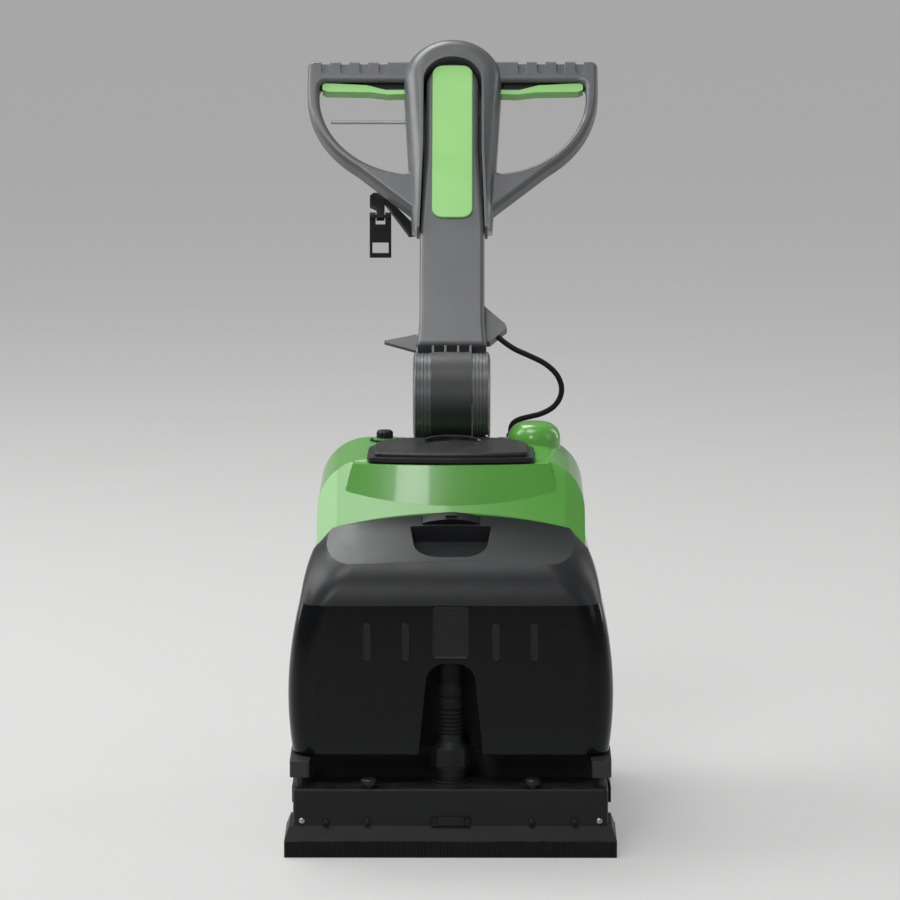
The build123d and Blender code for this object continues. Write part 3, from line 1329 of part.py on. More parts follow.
def above_panel(back, knee_drop):
    """Region over the panel at one place along it, bounded below by a low arch."""
    crown = PANEL_FOOT_Z + (back - PANEL_FOOT) * tan(radians(PANEL_SLOPE)) - PANEL_SKIM
    with BuildSketch(Plane.XZ.offset(-y_at(back))) as region:
        with BuildLine():
            far = 2 * CROWN_EDGE_X
            far_drop = knee_drop * (far / CROWN_KNEE_X) ** 2
            arch = ThreePointArc((-far, crown - far_drop), (0, crown), (far, crown - far_drop))
            Polyline(arch @ 1, (far, 2 * CROWN_Z), (-far, 2 * CROWN_Z), arch @ 0)
        make_face()
    return region.sketch


with BuildPart() as recovery_cover:
    crease = (TANK_CREASE_Z, TANK_CREASE_HALF_WIDTH, TANK_CREASE_FACE, TANK_CORNER, COVER_REAR)
    bulge = (BULGE_Z, BULGE_HALF_WIDTH, BULGE_FRONT, (TANK_CORNER + PANEL_FOOT_CORNER) / 2, COVER_REAR)
    panel_foot = (PANEL_FOOT_Z, PANEL_FOOT_HALF_WIDTH, PANEL_FOOT, PANEL_FOOT_CORNER, COVER_REAR)
    panel_top_front = PANEL_FOOT + PANEL_RISE / tan(radians(PANEL_SLOPE))
    panel_top = (
        PANEL_FOOT_Z + PANEL_RISE,
        PANEL_TOP_HALF_WIDTH,
        panel_top_front,
        PANEL_TOP_CORNER,
        COVER_REAR,
    )
    loft(sections=[tank_section(*crease), tank_section(*bulge), tank_section(*panel_foot)])
    loft(sections=[tank_section(*panel_foot), tank_section(*panel_top)], ruled=True)
    cavity_top = (BULGE_Z, BULGE_HALF_WIDTH, BULGE_FRONT + WALL, PANEL_FOOT_CORNER)
    loft(
        sections=[
            tank_section(*crease[:4], TANK_PARTING, WALL),
            tank_section(*cavity_top, TANK_PARTING, WALL),
        ],
        ruled=True,
        mode=Mode.SUBTRACT,
    )
    block(
        (-SQUEEGEE_WIDTH, y_at(TANK_PARTING), TANK_BOTTOM),
        (SQUEEGEE_WIDTH, y_at(COVER_REAR + 1), 2 * CROWN_Z),
        Mode.SUBTRACT,
    )
    panel_front = above_panel(PANEL_FOOT - PANEL_FOOT_LEAD, PANEL_FOOT_BOW)
    panel_rear = above_panel(TANK_PARTING + PANEL_FOOT_LEAD, CROWN_Z - CROWN_KNEE_Z)
    loft(sections=[panel_front, panel_rear], ruled=True, mode=Mode.SUBTRACT)
    with BuildSketch(panel_plane) as recess:
        with BuildLine():
            Polyline(
                (-RECESS_WIDTH / 2, RECESS_TOP),
                (-RECESS_FOOT_WIDTH / 2, RECESS_TOP - RECESS_LENGTH),
                (RECESS_FOOT_WIDTH / 2, RECESS_TOP - RECESS_LENGTH),
                (RECESS_WIDTH / 2, RECESS_TOP),
                close=True,
            )
        make_face()
        fillet(recess.vertices().group_by(Axis.Y)[0], RECESS_ROUND)
    extrude(amount=-RECESS_DEPTH, taper=RECESS_DRAFT, mode=Mode.SUBTRACT)
    with BuildSketch(panel_plane):
        with Locations((0, LATCH_FOOT + LATCH_LENGTH / 2)):
            Rectangle(LATCH_WIDTH + 2 * PART_GAP, LATCH_LENGTH + 2 * PART_GAP)
    extrude(amount=-LATCH_POCKET, mode=Mode.SUBTRACT)
save(recovery_cover, "recovery_cover")

latch_middle = LATCH_FOOT + LATCH_LENGTH / 2
latch_rear = panel_plane.from_local_coords((0, LATCH_FOOT + LATCH_LENGTH, 0))
latch_plane = Plane(origin=latch_rear, x_dir=(1, 0, 0), z_dir=-panel_plane.y_dir)
with BuildPart() as tank_latch:
    with BuildSketch(panel_plane.offset(-LATCH_SINK)):
        with Locations((0, latch_middle)):
            Rectangle(LATCH_WIDTH, LATCH_LENGTH)
    extrude(amount=LATCH_SINK)
    with BuildSketch(latch_plane):
        with BuildLine():
            left, right = (-LATCH_WIDTH / 2, 0), (LATCH_WIDTH / 2, 0)
            ThreePointArc(left, (0, LATCH_HEIGHT), right)
            Line(right, left)
        make_face()
    extrude(amount=LATCH_LENGTH)
    with BuildSketch(panel_plane.offset(LATCH_HEIGHT / 2)):
        with Locations((0, latch_middle)):
            RectangleRounded(LATCH_TOP_WIDTH, LATCH_LENGTH / 2, LATCH_NUB_HEIGHT / 2)
    extrude(amount=LATCH_HEIGHT / 2 + LATCH_NUB_HEIGHT)
save(tank_latch, "tank_latch")


# Plan of the lid: bowed front edge and rounded rear corners
def lid_outline(height, margin):
    """Plan of the lid, grown all round by a margin."""
    with BuildSketch(Plane.XY.offset(height)) as outline:
        with BuildLine():
            half = LID_HALF_WIDTH + margin
            bow_at_edge = COLLAR_BOW * (LID_HALF_WIDTH / COLLAR_HALF_WIDTH) ** 2
            front = y_at(LID_FRONT) - margin
            rear = y_at(LID_FRONT + LID_DEPTH) + margin
            bow = ThreePointArc((-half, front + bow_at_edge), (0, front), (half, front + bow_at_edge))
            Polyline(bow @ 1, (half, rear), (-half, rear), bow @ 0)
        make_face()
        corners = outline.vertices().sort_by(Axis.Y)
        fillet(corners[-2:], LID_REAR_ROUND + margin)
        fillet(outline.vertices().sort_by(Axis.Y)[:2], LID_FRONT_ROUND)
    return outline.sketch


# Domed duct that stands on the right shoulder of the solution tank
with BuildPart(mode=Mode.PRIVATE) as duct:
    rod_z(DUCT_RADIUS, GREEN_WAIST_Z, DUCT_TOP_Z, DUCT_X, y_at(DUCT_BACK))
    fillet(duct.edges().group_by(Axis.Z)[-1], DUCT_DOME)

# Solution tank: shouldered shell whose crowned front slope carries the raised collar
with BuildPart() as solution_tank:
    with BuildSketch(Plane.XZ.offset(-y_at(SOLUTION_REAR))) as shoulders:
        with BuildLine():
            Polyline(
                (-GREEN_FLANK_HALF_WIDTH, GREEN_BOTTOM),
                (GREEN_FLANK_HALF_WIDTH, GREEN_BOTTOM),
                (GREEN_HALF_WIDTH, GREEN_WAIST_Z),
                (GREEN_HALF_WIDTH, GREEN_TOP_Z),
                (-GREEN_HALF_WIDTH, GREEN_TOP_Z),
                (-GREEN_HALF_WIDTH, GREEN_WAIST_Z),
                close=True,
            )
        make_face()
        fillet(shoulders.vertices().group_by(Axis.Y)[-1], GREEN_SHOULDER_ROUND)
        waist = (GREEN_WAIST_Z - PART_GAP, GREEN_WAIST_Z + PART_GAP)
        fillet(shoulders.vertices().filter_by_position(Axis.Y, *waist), GREEN_WAIST_ROUND)
    extrude(amount=SOLUTION_REAR - TANK_PARTING - PART_GAP)
    with BuildSketch(Plane.XZ.offset(-y_at(TANK_PARTING))):
        with BuildLine():
            far = 2 * CROWN_EDGE_X
            arc = ThreePointArc(
                (-CROWN_KNEE_X, CROWN_KNEE_Z), (0, CROWN_Z), (CROWN_KNEE_X, CROWN_KNEE_Z)
            )
            Polyline(
                arc @ 1,
                (CROWN_EDGE_X, CROWN_EDGE_Z),
                (far, CROWN_EDGE_Z),
                (far, 2 * CROWN_Z),
                (-far, 2 * CROWN_Z),
                (-far, CROWN_EDGE_Z),
                (-CROWN_EDGE_X, CROWN_EDGE_Z),
                arc @ 0,
            )
        make_face()
    slope_dir = (0, cos(radians(COLLAR_SLOPE)), sin(radians(COLLAR_SLOPE)))
    extrude(amount=SOLUTION_REAR, dir=slope_dir, mode=Mode.SUBTRACT)
    with BuildSketch(Plane.XY.offset(COLLAR_FOOT_Z)) as collar:
        with BuildLine():
            bow = ThreePointArc(
                (-COLLAR_HALF_WIDTH, y_at(COLLAR_FRONT + COLLAR_BOW)),
                (0, y_at(COLLAR_FRONT)),
                (COLLAR_HALF_WIDTH, y_at(COLLAR_FRONT + COLLAR_BOW)),
            )
            rear_y = y_at(SOLUTION_REAR)
            Polyline(bow @ 1, (COLLAR_HALF_WIDTH, rear_y), (-COLLAR_HALF_WIDTH, rear_y), bow @ 0)
        make_face()
        fillet(collar.vertices().group_by(Axis.Y)[0], COLLAR_CORNER)
    extrude(amount=COLLAR_TOP_Z - COLLAR_FOOT_Z, taper=COLLAR_DRAFT)
    add(duct.part)
    cap_seat = GREEN_TOP_Z + CAP_SEAT_HEIGHT
    rod_z(CAP_SEAT_RADIUS, GREEN_WAIST_Z, cap_seat, CAP_X, y_at(CAP_BACK))
    block(
        (-POST_NOTCH_HALF_WIDTH, y_at(POST_NOTCH_FRONT), GREEN_BOTTOM),
        (POST_NOTCH_HALF_WIDTH, y_at(SOLUTION_REAR), 2 * CROWN_Z),
        Mode.SUBTRACT,
    )
    extrude(lid_outline(COLLAR_TOP_Z, LID_SKIRT + SWING_GAP), amount=2 * LID_SKIRT, mode=Mode.SUBTRACT)
    for rear, front, top in (
        (POST_NOTCH_FRONT - 2 * WALL, CAVITY_FRONT, CAVITY_TOP),
        (CAVITY_FRONT, CAVITY_TOE, GREEN_WAIST_Z),
    ):
        with BuildSketch(Plane.XZ.offset(-y_at(rear))):
            with BuildLine():
                wide = GREEN_FLANK_HALF_WIDTH - 3 * WALL
                narrow = GREEN_HALF_WIDTH - 3 * WALL
                Polyline(
                    (-wide, GREEN_BOTTOM + 2 * WALL),
                    (wide, GREEN_BOTTOM + 2 * WALL),
                    (narrow, GREEN_WAIST_Z - 2 * WALL),
                    (narrow, top),
                    (-narrow, top),
                    (-narrow, GREEN_WAIST_Z - 2 * WALL),
                    close=True,
                )
            make_face()
        extrude(amount=rear - front, mode=Mode.SUBTRACT)
    block(
        (-CAVITY_HALF_WIDTH, y_at(CAVITY_FRONT), CAVITY_TOP),
        (CAVITY_HALF_WIDTH, y_at(POST_NOTCH_FRONT - 2 * WALL), COLLAR_TOP_Z - 3 * WALL),
        Mode.SUBTRACT,
    )
    with BuildSketch(Plane.XY.offset(CAVITY_TOP)) as mouth:
        with Locations((0, y_at((MOUTH_FRONT + MOUTH_REAR) / 2))):
            RectangleRounded(2 * MOUTH_HALF_WIDTH, MOUTH_REAR - MOUTH_FRONT, MOUTH_ROUND)
    extrude(amount=COLLAR_TOP_Z - CAVITY_TOP, mode=Mode.SUBTRACT)
    stud_foot = GREEN_TOP_Z - CAP_STUD_HOLE
    rod_z(STUD_RADIUS + RUN_FIT, stud_foot, cap_seat, CAP_X, y_at(CAP_BACK), Mode.SUBTRACT)
save(solution_tank, "solution_tank")


# Lid: stepped skirt, plug and a crescent finger pull
LID_BOTTOM_Z = COLLAR_TOP_Z + GASKET_THICK
MOUTH_MIDDLE = y_at((MOUTH_FRONT + MOUTH_REAR) / 2)
with BuildPart() as tank_lid:
    extrude(lid_outline(LID_BOTTOM_Z, LID_SKIRT), amount=LID_SKIRT_THICK)
    extrude(lid_outline(LID_BOTTOM_Z, 0), amount=LID_TOP_Z - LID_BOTTOM_Z)
    chamfer(tank_lid.edges().group_by(Axis.Z)[-1], LID_CHAMFER)
    with BuildSketch(Plane.XY.offset(COLLAR_TOP_Z - LID_PLUG)):
        with Locations((0, MOUTH_MIDDLE)):
            plug_width = 2 * (MOUTH_HALF_WIDTH - LID_PLUG_GAP)
            plug_depth = MOUTH_REAR - MOUTH_FRONT - 2 * LID_PLUG_GAP
            RectangleRounded(plug_width, plug_depth, MOUTH_ROUND - LID_PLUG_GAP)
    extrude(amount=LID_BOTTOM_Z - COLLAR_TOP_Z + LID_PLUG)
    with BuildSketch(Plane.XY.offset(LID_TOP_Z)):
        with BuildLine():
            pull_rear = y_at(LID_FRONT + LID_DEPTH - PULL_REAR_INSET)
            pull_front = pull_rear - PULL_WIDTH / 2
            left, right = (-PULL_WIDTH / 2, pull_front), (PULL_WIDTH / 2, pull_front)
            ThreePointArc(left, (0, pull_rear), right)
            ThreePointArc(left, (0, pull_rear - PULL_THICK), right)
        make_face()
    extrude(amount=PULL_HEIGHT)
save(tank_lid, "tank_lid")

with BuildPart() as lid_gasket:
    with BuildSketch(Plane.XY.offset(COLLAR_TOP_Z)):
        with Locations((0, MOUTH_MIDDLE)):
            length = MOUTH_REAR - MOUTH_FRONT
            outer_width = 2 * (MOUTH_HALF_WIDTH + GASKET_WIDTH)
            RectangleRounded(outer_width, length + 2 * GASKET_WIDTH, MOUTH_ROUND + GASKET_WIDTH)
            RectangleRounded(2 * MOUTH_HALF_WIDTH, length, MOUTH_ROUND, mode=Mode.SUBTRACT)
    extrude(amount=GASKET_THICK)
save(lid_gasket, "lid_gasket")

with BuildPart() as vent_cap:
    cap_bottom = GREEN_TOP_Z + CAP_SEAT_HEIGHT
    turn_z(
        [
            (0, cap_bottom - CAP_STUD),
            (STUD_RADIUS, cap_bottom - CAP_STUD),
            (STUD_RADIUS, cap_bottom),
            (CAP_RADIUS, cap_bottom),
            (CAP_RADIUS, cap_bottom + CAP_HEIGHT - CAP_CHAMFER),
            (CAP_RADIUS - CAP_CHAMFER, cap_bottom + CAP_HEIGHT),
            (0, cap_bottom + CAP_HEIGHT),
        ],
        CAP_X,
        y_at(CAP_BACK),
    )
    with Locations((CAP_X, y_at(CAP_BACK), cap_bottom + CAP_HEIGHT / 2)):
        with PolarLocations(CAP_RADIUS + CAP_FLUTE_OFFSET, CAP_FLUTES):
            Cylinder(CAP_FLUTE_RADIUS, 2 * CAP_HEIGHT, mode=Mode.SUBTRACT)
save(vent_cap, "vent_cap")

# Rear suction hose: from the plate down into the rear squeegee's port
with BuildPart() as rear_hose:
    collar_z = PLATE_TOP + REAR_PIPE_FLANGE_THICK
    flange = SPIGOT_RADIUS + REAR_PIPE_FLANGE
    turn_z(
        [
            (HOSE_BORE, SPIGOT_BOTTOM_Z),
            (SPIGOT_RADIUS, SPIGOT_BOTTOM_Z),
            (SPIGOT_RADIUS, PLATE_TOP),
            (flange, PLATE_TOP),
            (flange, collar_z),
            (HOSE_RADIUS, collar_z),
            (HOSE_RADIUS, collar_z + REAR_PIPE_LENGTH),
            (HOSE_BORE, collar_z + REAR_PIPE_LENGTH),
        ],
        REAR_PORT_X,
        REAR_PORT_Y,
    )
save(rear_hose, "rear_suction_pipe")

# Post with the hinge knuckle
with BuildPart() as handle_post:
    post_front, post_rear = HINGE_BACK - POST_FRONT_REACH, HINGE_BACK + POST_REAR_REACH
    block(
        (-POST_FOOT_HALF_WIDTH, y_at(post_front - POST_FOOT_LEAD), PLATE_TOP),
        (POST_FOOT_HALF_WIDTH, y_at(post_rear + POST_FOOT_TAIL), PLATE_TOP + POST_FOOT_THICK),
    )
    shoulder_z = HINGE_Z - DRUM_RADIUS - POST_SHOULDER_GAP
    with BuildSketch(Plane.YZ):
        with BuildLine():
            Polyline(
                (y_at(post_front), PLATE_TOP + POST_FOOT_THICK),
                (y_at(post_rear), PLATE_TOP + POST_FOOT_THICK),
                (y_at(post_rear - POST_TAPER_REAR), shoulder_z),
                (y_at(post_front + POST_TAPER_FRONT), shoulder_z),
                close=True,
            )
        make_face()
    extrude(amount=POST_HALF_WIDTH, both=True)
    fillet(handle_post.edges().group_by(Axis.Z)[-1], POST_ROUND)
    block(
        (-KNUCKLE_HALF_WIDTH, y_at(post_front + KNUCKLE_FRONT_STEP), shoulder_z - KNUCKLE_ROOT),
        (KNUCKLE_HALF_WIDTH, y_at(post_rear - KNUCKLE_REAR_STEP), HINGE_Z),
    )
    rod_x(DRUM_RADIUS, -KNUCKLE_HALF_WIDTH, KNUCKLE_HALF_WIDTH, HINGE_Y, HINGE_Z)
    rod_x(
        HINGE_PIN_RADIUS + RUN_FIT, -KNUCKLE_HALF_WIDTH, KNUCKLE_HALF_WIDTH, HINGE_Y, HINGE_Z, Mode.SUBTRACT
    )
save(handle_post, "handle_post")

with BuildPart() as hinge_pin:
    rod_x(HINGE_PIN_RADIUS, -CHEEK_OUTER_X, CHEEK_OUTER_X, HINGE_Y, HINGE_Z)
save(hinge_pin, "hinge_pin")

with BuildPart() as hinge_caps:
    inner_x = CHEEK_OUTER_X + RUN_FIT
    outer_x = CHEEK_OUTER_X + HINGE_CAP_THICK
    turn_x(
        [
            (inner_x, 0),
            (inner_x, DRUM_RADIUS),
            (inner_x + HINGE_CAP_EDGE, DRUM_RADIUS),
            (outer_x - HINGE_CAP_CROWN, DRUM_RADIUS - HINGE_CAP_BEVEL),
            (outer_x, DRUM_RADIUS - HINGE_CAP_FACE),
            (outer_x, 0),
        ],
        HINGE_Y,
        HINGE_Z,
    )
    mirror(about=Plane.YZ)
save(hinge_caps, "hinge_caps")

# Handle column: fork with grooved cheeks, ribbed yoke and a tongue that lies in the head
CHEEK_INNER_X = KNUCKLE_HALF_WIDTH + HINGE_SIDE_GAP
TONGUE_SPRING = TONGUE_TOP - TONGUE_HALF_WIDTH
SLOT_HALF_THICK = LOCK_HALF_THICK + SWING_GAP


def cheek_profile():
    """Half section of one grooved cheek, as (x, radius) points."""
    pitch = (CHEEK_OUTER_X - CHEEK_INNER_X) / (CHEEK_GROOVES + 1)
    points = [(CHEEK_INNER_X, 0), (CHEEK_INNER_X, CHEEK_RADIUS)]
    for index in range(CHEEK_GROOVES):
        left = CHEEK_INNER_X + (index + 1) * pitch - CHEEK_GROOVE_WIDTH / 2
        right = left + CHEEK_GROOVE_WIDTH
        low = CHEEK_RADIUS - CHEEK_GROOVE_DEPTH
        points += [(left, CHEEK_RADIUS), (left, low), (right, low), (right, CHEEK_RADIUS)]
    points += [(CHEEK_OUTER_X, CHEEK_RADIUS), (CHEEK_OUTER_X, 0)]
    return points


with BuildPart() as handle_column:
    with BuildSketch(handle_plane.offset(-COLUMN_HALF_THICK)):
        with BuildLine():
            dome = ThreePointArc(
                (TONGUE_HALF_WIDTH, TONGUE_SPRING), (0, TONGUE_TOP), (-TONGUE_HALF_WIDTH, TONGUE_SPRING)
            )
            Polyline(
                dome @ 1,
                (-TONGUE_HALF_WIDTH, TONGUE_STRAIGHT),
                (-COLUMN_HALF_WIDTH, TONGUE_START),
                (-COLUMN_HALF_WIDTH, COLUMN_NECK),
                (-COLUMN_FOOT_HALF_WIDTH, COLUMN_FLARE),
                (-COLUMN_FOOT_HALF_WIDTH, COLUMN_FOOT),
                (COLUMN_FOOT_HALF_WIDTH, COLUMN_FOOT),
                (COLUMN_FOOT_HALF_WIDTH, COLUMN_FLARE),
                (COLUMN_HALF_WIDTH, COLUMN_NECK),
                (COLUMN_HALF_WIDTH, TONGUE_START),
                (TONGUE_HALF_WIDTH, TONGUE_STRAIGHT),
                dome @ 0,
            )
        make_face()
    extrude(amount=2 * COLUMN_HALF_THICK)
    fillet(handle_column.edges().group_by(handle_normal)[-1], COLUMN_ROUND)
    turn_x(cheek_profile(), HINGE_Y, HINGE_Z)
    turn_x([(-x, radius) for x, radius in cheek_profile()], HINGE_Y, HINGE_Z)
    for side in (-1, 1):
        handle_block(
            (side * CHEEK_INNER_X, 0, -COLUMN_HALF_THICK),
            (side * CHEEK_OUTER_X, COLUMN_FOOT + COLUMN_ROUND, YOKE_ARM_FRONT),
        )
        rib_front = COLUMN_HALF_THICK - YOKE_RIB_THICK
        for x in YOKE_RIB_X:
            handle_block(
                (side * x - YOKE_RIB_THICK / 2, DRUM_RADIUS + SWING_GAP, -YOKE_RIB_BACK),
                (side * x + YOKE_RIB_THICK / 2, COLUMN_FOOT + COLUMN_ROUND, rib_front),
            )
    rod_x(HINGE_PIN_RADIUS + RUN_FIT, -CHEEK_OUTER_X, CHEEK_OUTER_X, HINGE_Y, HINGE_Z, Mode.SUBTRACT)
    handle_block(
        (-COLUMN_FOOT_HALF_WIDTH - SWING_GAP, LOCK_ALONG - LOCK_SLOT_HALF, -SLOT_HALF_THICK),
        (-LOCK_PIVOT_X + LOCK_HUB + SWING_GAP, LOCK_ALONG + LOCK_SLOT_HALF, SLOT_HALF_THICK),
        Mode.SUBTRACT,
    )
    handle_rod(LEVER_PIN_RADIUS, -LOCK_PIVOT_X, LOCK_ALONG, -COLUMN_HALF_THICK / 2, COLUMN_HALF_THICK / 2)
save(handle_column, "handle_column")

# Handle head: two rounded D loops joined by a domed pod with a channel for the tongue
with BuildPart(mode=Mode.PRIVATE) as loop_frame:
    with BuildSketch(handle_plane.offset(-LOOP_HALF_THICK)) as loop:
        with BuildLine():
            side_line = Line((LOOP_OUTER_X, LOOP_TOP), (LOOP_OUTER_X, LOOP_OUTER_SPRING))
            outer = JernArc(side_line @ 1, side_line % 1, LOOP_OUTER_BEND, -LOOP_OUTER_TURN)
            Polyline(
                outer @ 1,
                LOOP_ROOT,
                (LOOP_BURIED_X, LOOP_ROOT[1]),
                (LOOP_BURIED_X, LOOP_TOP),
                side_line @ 0,
            )
        make_face()
        fillet(loop.vertices().sort_by_distance(outer @ 1)[0], LOOP_ROOT_BLEND)
        fillet(loop.vertices().sort_by_distance(side_line @ 0)[0], LOOP_CORNER)
        with BuildLine():
            reach = LOOP_INNER_END_X - LOOP_INNER_BEND
            drop = sqrt(LOOP_INNER_BEND**2 - (LOOP_INNER_X - reach) ** 2)
            middle = LOOP_INNER_BEND * sqrt(0.5)
            inner = ThreePointArc(
                (LOOP_INNER_END_X, LOOP_INNER_SPRING),
                (reach + middle, LOOP_INNER_SPRING - middle),
                (LOOP_INNER_X, LOOP_INNER_SPRING - drop),
            )
            Polyline(
                inner @ 1,
                (LOOP_INNER_X, LOOP_OPENING_TOP),
                (LOOP_INNER_END_X, LOOP_OPENING_TOP),
                inner @ 0,
            )
        make_face(mode=Mode.SUBTRACT)
        for corner in (
            inner @ 1,
            Vector(LOOP_INNER_X, LOOP_OPENING_TOP),
            Vector(LOOP_INNER_END_X, LOOP_OPENING_TOP),
        ):
            fillet(loop.vertices().sort_by_distance(corner)[0], LOOP_OPENING_CORNER)
    extrude(amount=2 * LOOP_HALF_THICK)
    for end in (0, -1):
        face_edges = loop_frame.edges().group_by(handle_normal)[end]
        buried = face_edges.sort_by(Axis.X)[0]
        foot = face_edges.sort_by(Axis.Z)[0]
        fillet([edge for edge in face_edges if edge not in (buried, foot)], LOOP_ROUND)
    mirror(about=Plane.YZ)


def channel_outline(margin, foot, level):
    """Front view of the channel round the tongue, grown by a margin."""
    half = TONGUE_HALF_WIDTH + margin
    foot_half = COLUMN_HALF_WIDTH + PART_GAP + margin - CHANNEL_MARGIN
    with BuildSketch(handle_plane.offset(level)) as outline:
        with BuildLine():
            bow = ThreePointArc((half, TONGUE_SPRING), (0, TONGUE_SPRING + half), (-half, TONGUE_SPRING))
            Polyline(
                bow @ 1,
                (-half, TONGUE_STRAIGHT),
                (-foot_half, TONGUE_START),
                (-foot_half, foot),
                (foot_half, foot),
                (foot_half, TONGUE_START),
                (half, TONGUE_STRAIGHT),
                bow @ 0,
            )
        make_face()
    return outline.sketch


# Side view of the handle: along the column, and proud of its middle plane
side_plane = Plane(origin=(0, HINGE_Y, HINGE_Z), x_dir=handle_plane.y_dir, z_dir=(1, 0, 0))
with BuildPart(mode=Mode.PRIVATE) as finger_notch:
    with BuildSketch(side_plane.offset(-FINGER_NOTCH_WIDTH / 2)):
        with BuildLine():
            floor_along = LOOP_TOP - FINGER_NOTCH_DEPTH
            floor_proud = LOOP_HALF_THICK - FINGER_NOTCH_DEPTH
            corner = LOOP_ROUND - FINGER_NOTCH_DEPTH
            notch_foot = LOOP_TOP - FINGER_NOTCH_LENGTH
            front = Line((notch_foot, floor_proud), (floor_along - corner, floor_proud))
            turn = JernArc(front @ 1, front % 1, corner, -90)
            Polyline(
                turn @ 1,
                (floor_along, 0),
                (LOOP_TOP + corner, 0),
                (LOOP_TOP + corner, LOOP_HALF_THICK + corner),
                (notch_foot, LOOP_HALF_THICK + corner),
                front @ 0,
            )
        make_face()
    extrude(amount=FINGER_NOTCH_WIDTH)
    notch_ends = finger_notch.edges().filter_by(handle_normal).sort_by(Axis.Z)[:2]
    fillet(notch_ends, FINGER_NOTCH_ROUND)

with BuildPart() as handle_head:
    with BuildSketch(handle_plane.offset(-HEAD_BACK)):
        with BuildLine():
            dome = ThreePointArc(
                (HEAD_HALF_WIDTH, HEAD_SPRING), (0, HEAD_TOP), (-HEAD_HALF_WIDTH, HEAD_SPRING)
            )
            Polyline(
                dome @ 1,
                (-HEAD_FOOT_HALF_WIDTH, HEAD_FOOT),
                (HEAD_FOOT_HALF_WIDTH, HEAD_FOOT),
                dome @ 0,
            )
        make_face()
    extrude(amount=HEAD_BACK + HEAD_FRONT)
    for end, bend in ((0, HEAD_BACK_ROUND), (-1, HEAD_FRONT_ROUND)):
        face_edges = handle_head.edges().group_by(handle_normal)[end]
        foot = face_edges.sort_by(Axis.Z)[0]
        fillet([edge for edge in face_edges if edge != foot], bend)
    add(loop_frame.part)
    with BuildSketch(side_plane):
        with BuildLine():
            slant = tan(radians(HEAD_FOOT_SLANT))
            below, behind = HEAD_FOOT - HEAD_BACK, -2 * HEAD_BACK
            Polyline(
                (HEAD_FOOT, COLUMN_HALF_THICK),
                (HEAD_FOOT + (COLUMN_HALF_THICK - behind) * slant, behind),
                (below, behind),
                (below, COLUMN_HALF_THICK),
                close=True,
            )
        make_face()
    extrude(amount=HEAD_HALF_WIDTH, both=True, mode=Mode.SUBTRACT)
    extrude(channel_outline(CHANNEL_MARGIN + LIP_WIDTH, HEAD_FOOT, 0), amount=HEAD_FRONT + LIP_PROUD)
    channel = channel_outline(CHANNEL_MARGIN, HEAD_FOOT - SWING_GAP, -COLUMN_HALF_THICK)
    extrude(channel, amount=2 * COLUMN_HALF_THICK + HEAD_FRONT, mode=Mode.SUBTRACT)
    for index in range(FINGER_NOTCHES):
        x = FINGER_NOTCH_X + index * FINGER_NOTCH_PITCH
        with Locations((-x, 0, 0), (x, 0, 0)):
            add(finger_notch.part, mode=Mode.SUBTRACT)
    slot_half = TRIGGER_HALF_THICK + SWING_GAP
    slot_foot = TRIGGER_PIVOT_ALONG - TRIGGER_HUB - 2 * SWING_GAP
    for side in (-1, 1):
        handle_block(
            (side * (TRIGGER_PIVOT_X - TRIGGER_HUB - SWING_GAP), slot_foot, -slot_half),
            (side * (TRIGGER_END_X + 2 * SWING_GAP), LOOP_OPENING_TOP + TRIGGER_SLOT_RISE, slot_half),
            Mode.SUBTRACT,
        )
        pin_end = slot_half + LEVER_PIN_GRIP
        handle_rod(LEVER_PIN_RADIUS, side * TRIGGER_PIVOT_X, TRIGGER_PIVOT_ALONG, -pin_end, pin_end)
    pocket_half = FLOW_HUB_HALF + SWING_GAP
    handle_block(
        (-HEAD_HALF_WIDTH - SWING_GAP, FLOW_ROD_ALONG - FLOW_POCKET_HALF, FLOW_ROD_PROUD - pocket_half),
        (
            -FLOW_PIVOT_X + FLOW_HUB + SWING_GAP,
            FLOW_ROD_ALONG + FLOW_POCKET_HALF,
            FLOW_ROD_PROUD + pocket_half,
        ),
        Mode.SUBTRACT,
    )
    pin_low = FLOW_ROD_PROUD - pocket_half - LEVER_PIN_GRIP
    pin_high = FLOW_ROD_PROUD + pocket_half + LEVER_PIN_GRIP
    handle_rod(LEVER_PIN_RADIUS, -FLOW_PIVOT_X, FLOW_ROD_ALONG, pin_low, pin_high)
    for along in BUTTON_ALONG:
        pocket_floor = -HEAD_BACK + BUTTON_POCKET
        handle_rod(BUTTON_RADIUS + PART_GAP, 0, along, -HEAD_BACK, pocket_floor, Mode.SUBTRACT)
save(handle_head, "handle_head")

with BuildPart() as insert_panel:
    with BuildSketch(handle_plane.offset(COLUMN_HALF_THICK)):
        with Locations((0, INSERT_FOOT + INSERT_LENGTH / 2)):
            RectangleRounded(2 * INSERT_HALF_WIDTH, INSERT_LENGTH, INSERT_ROUND)
    extrude(amount=INSERT_PROUD)
    fillet(insert_panel.edges().group_by(handle_normal)[-1], INSERT_PROUD / 2)
save(insert_panel, "insert_panel")


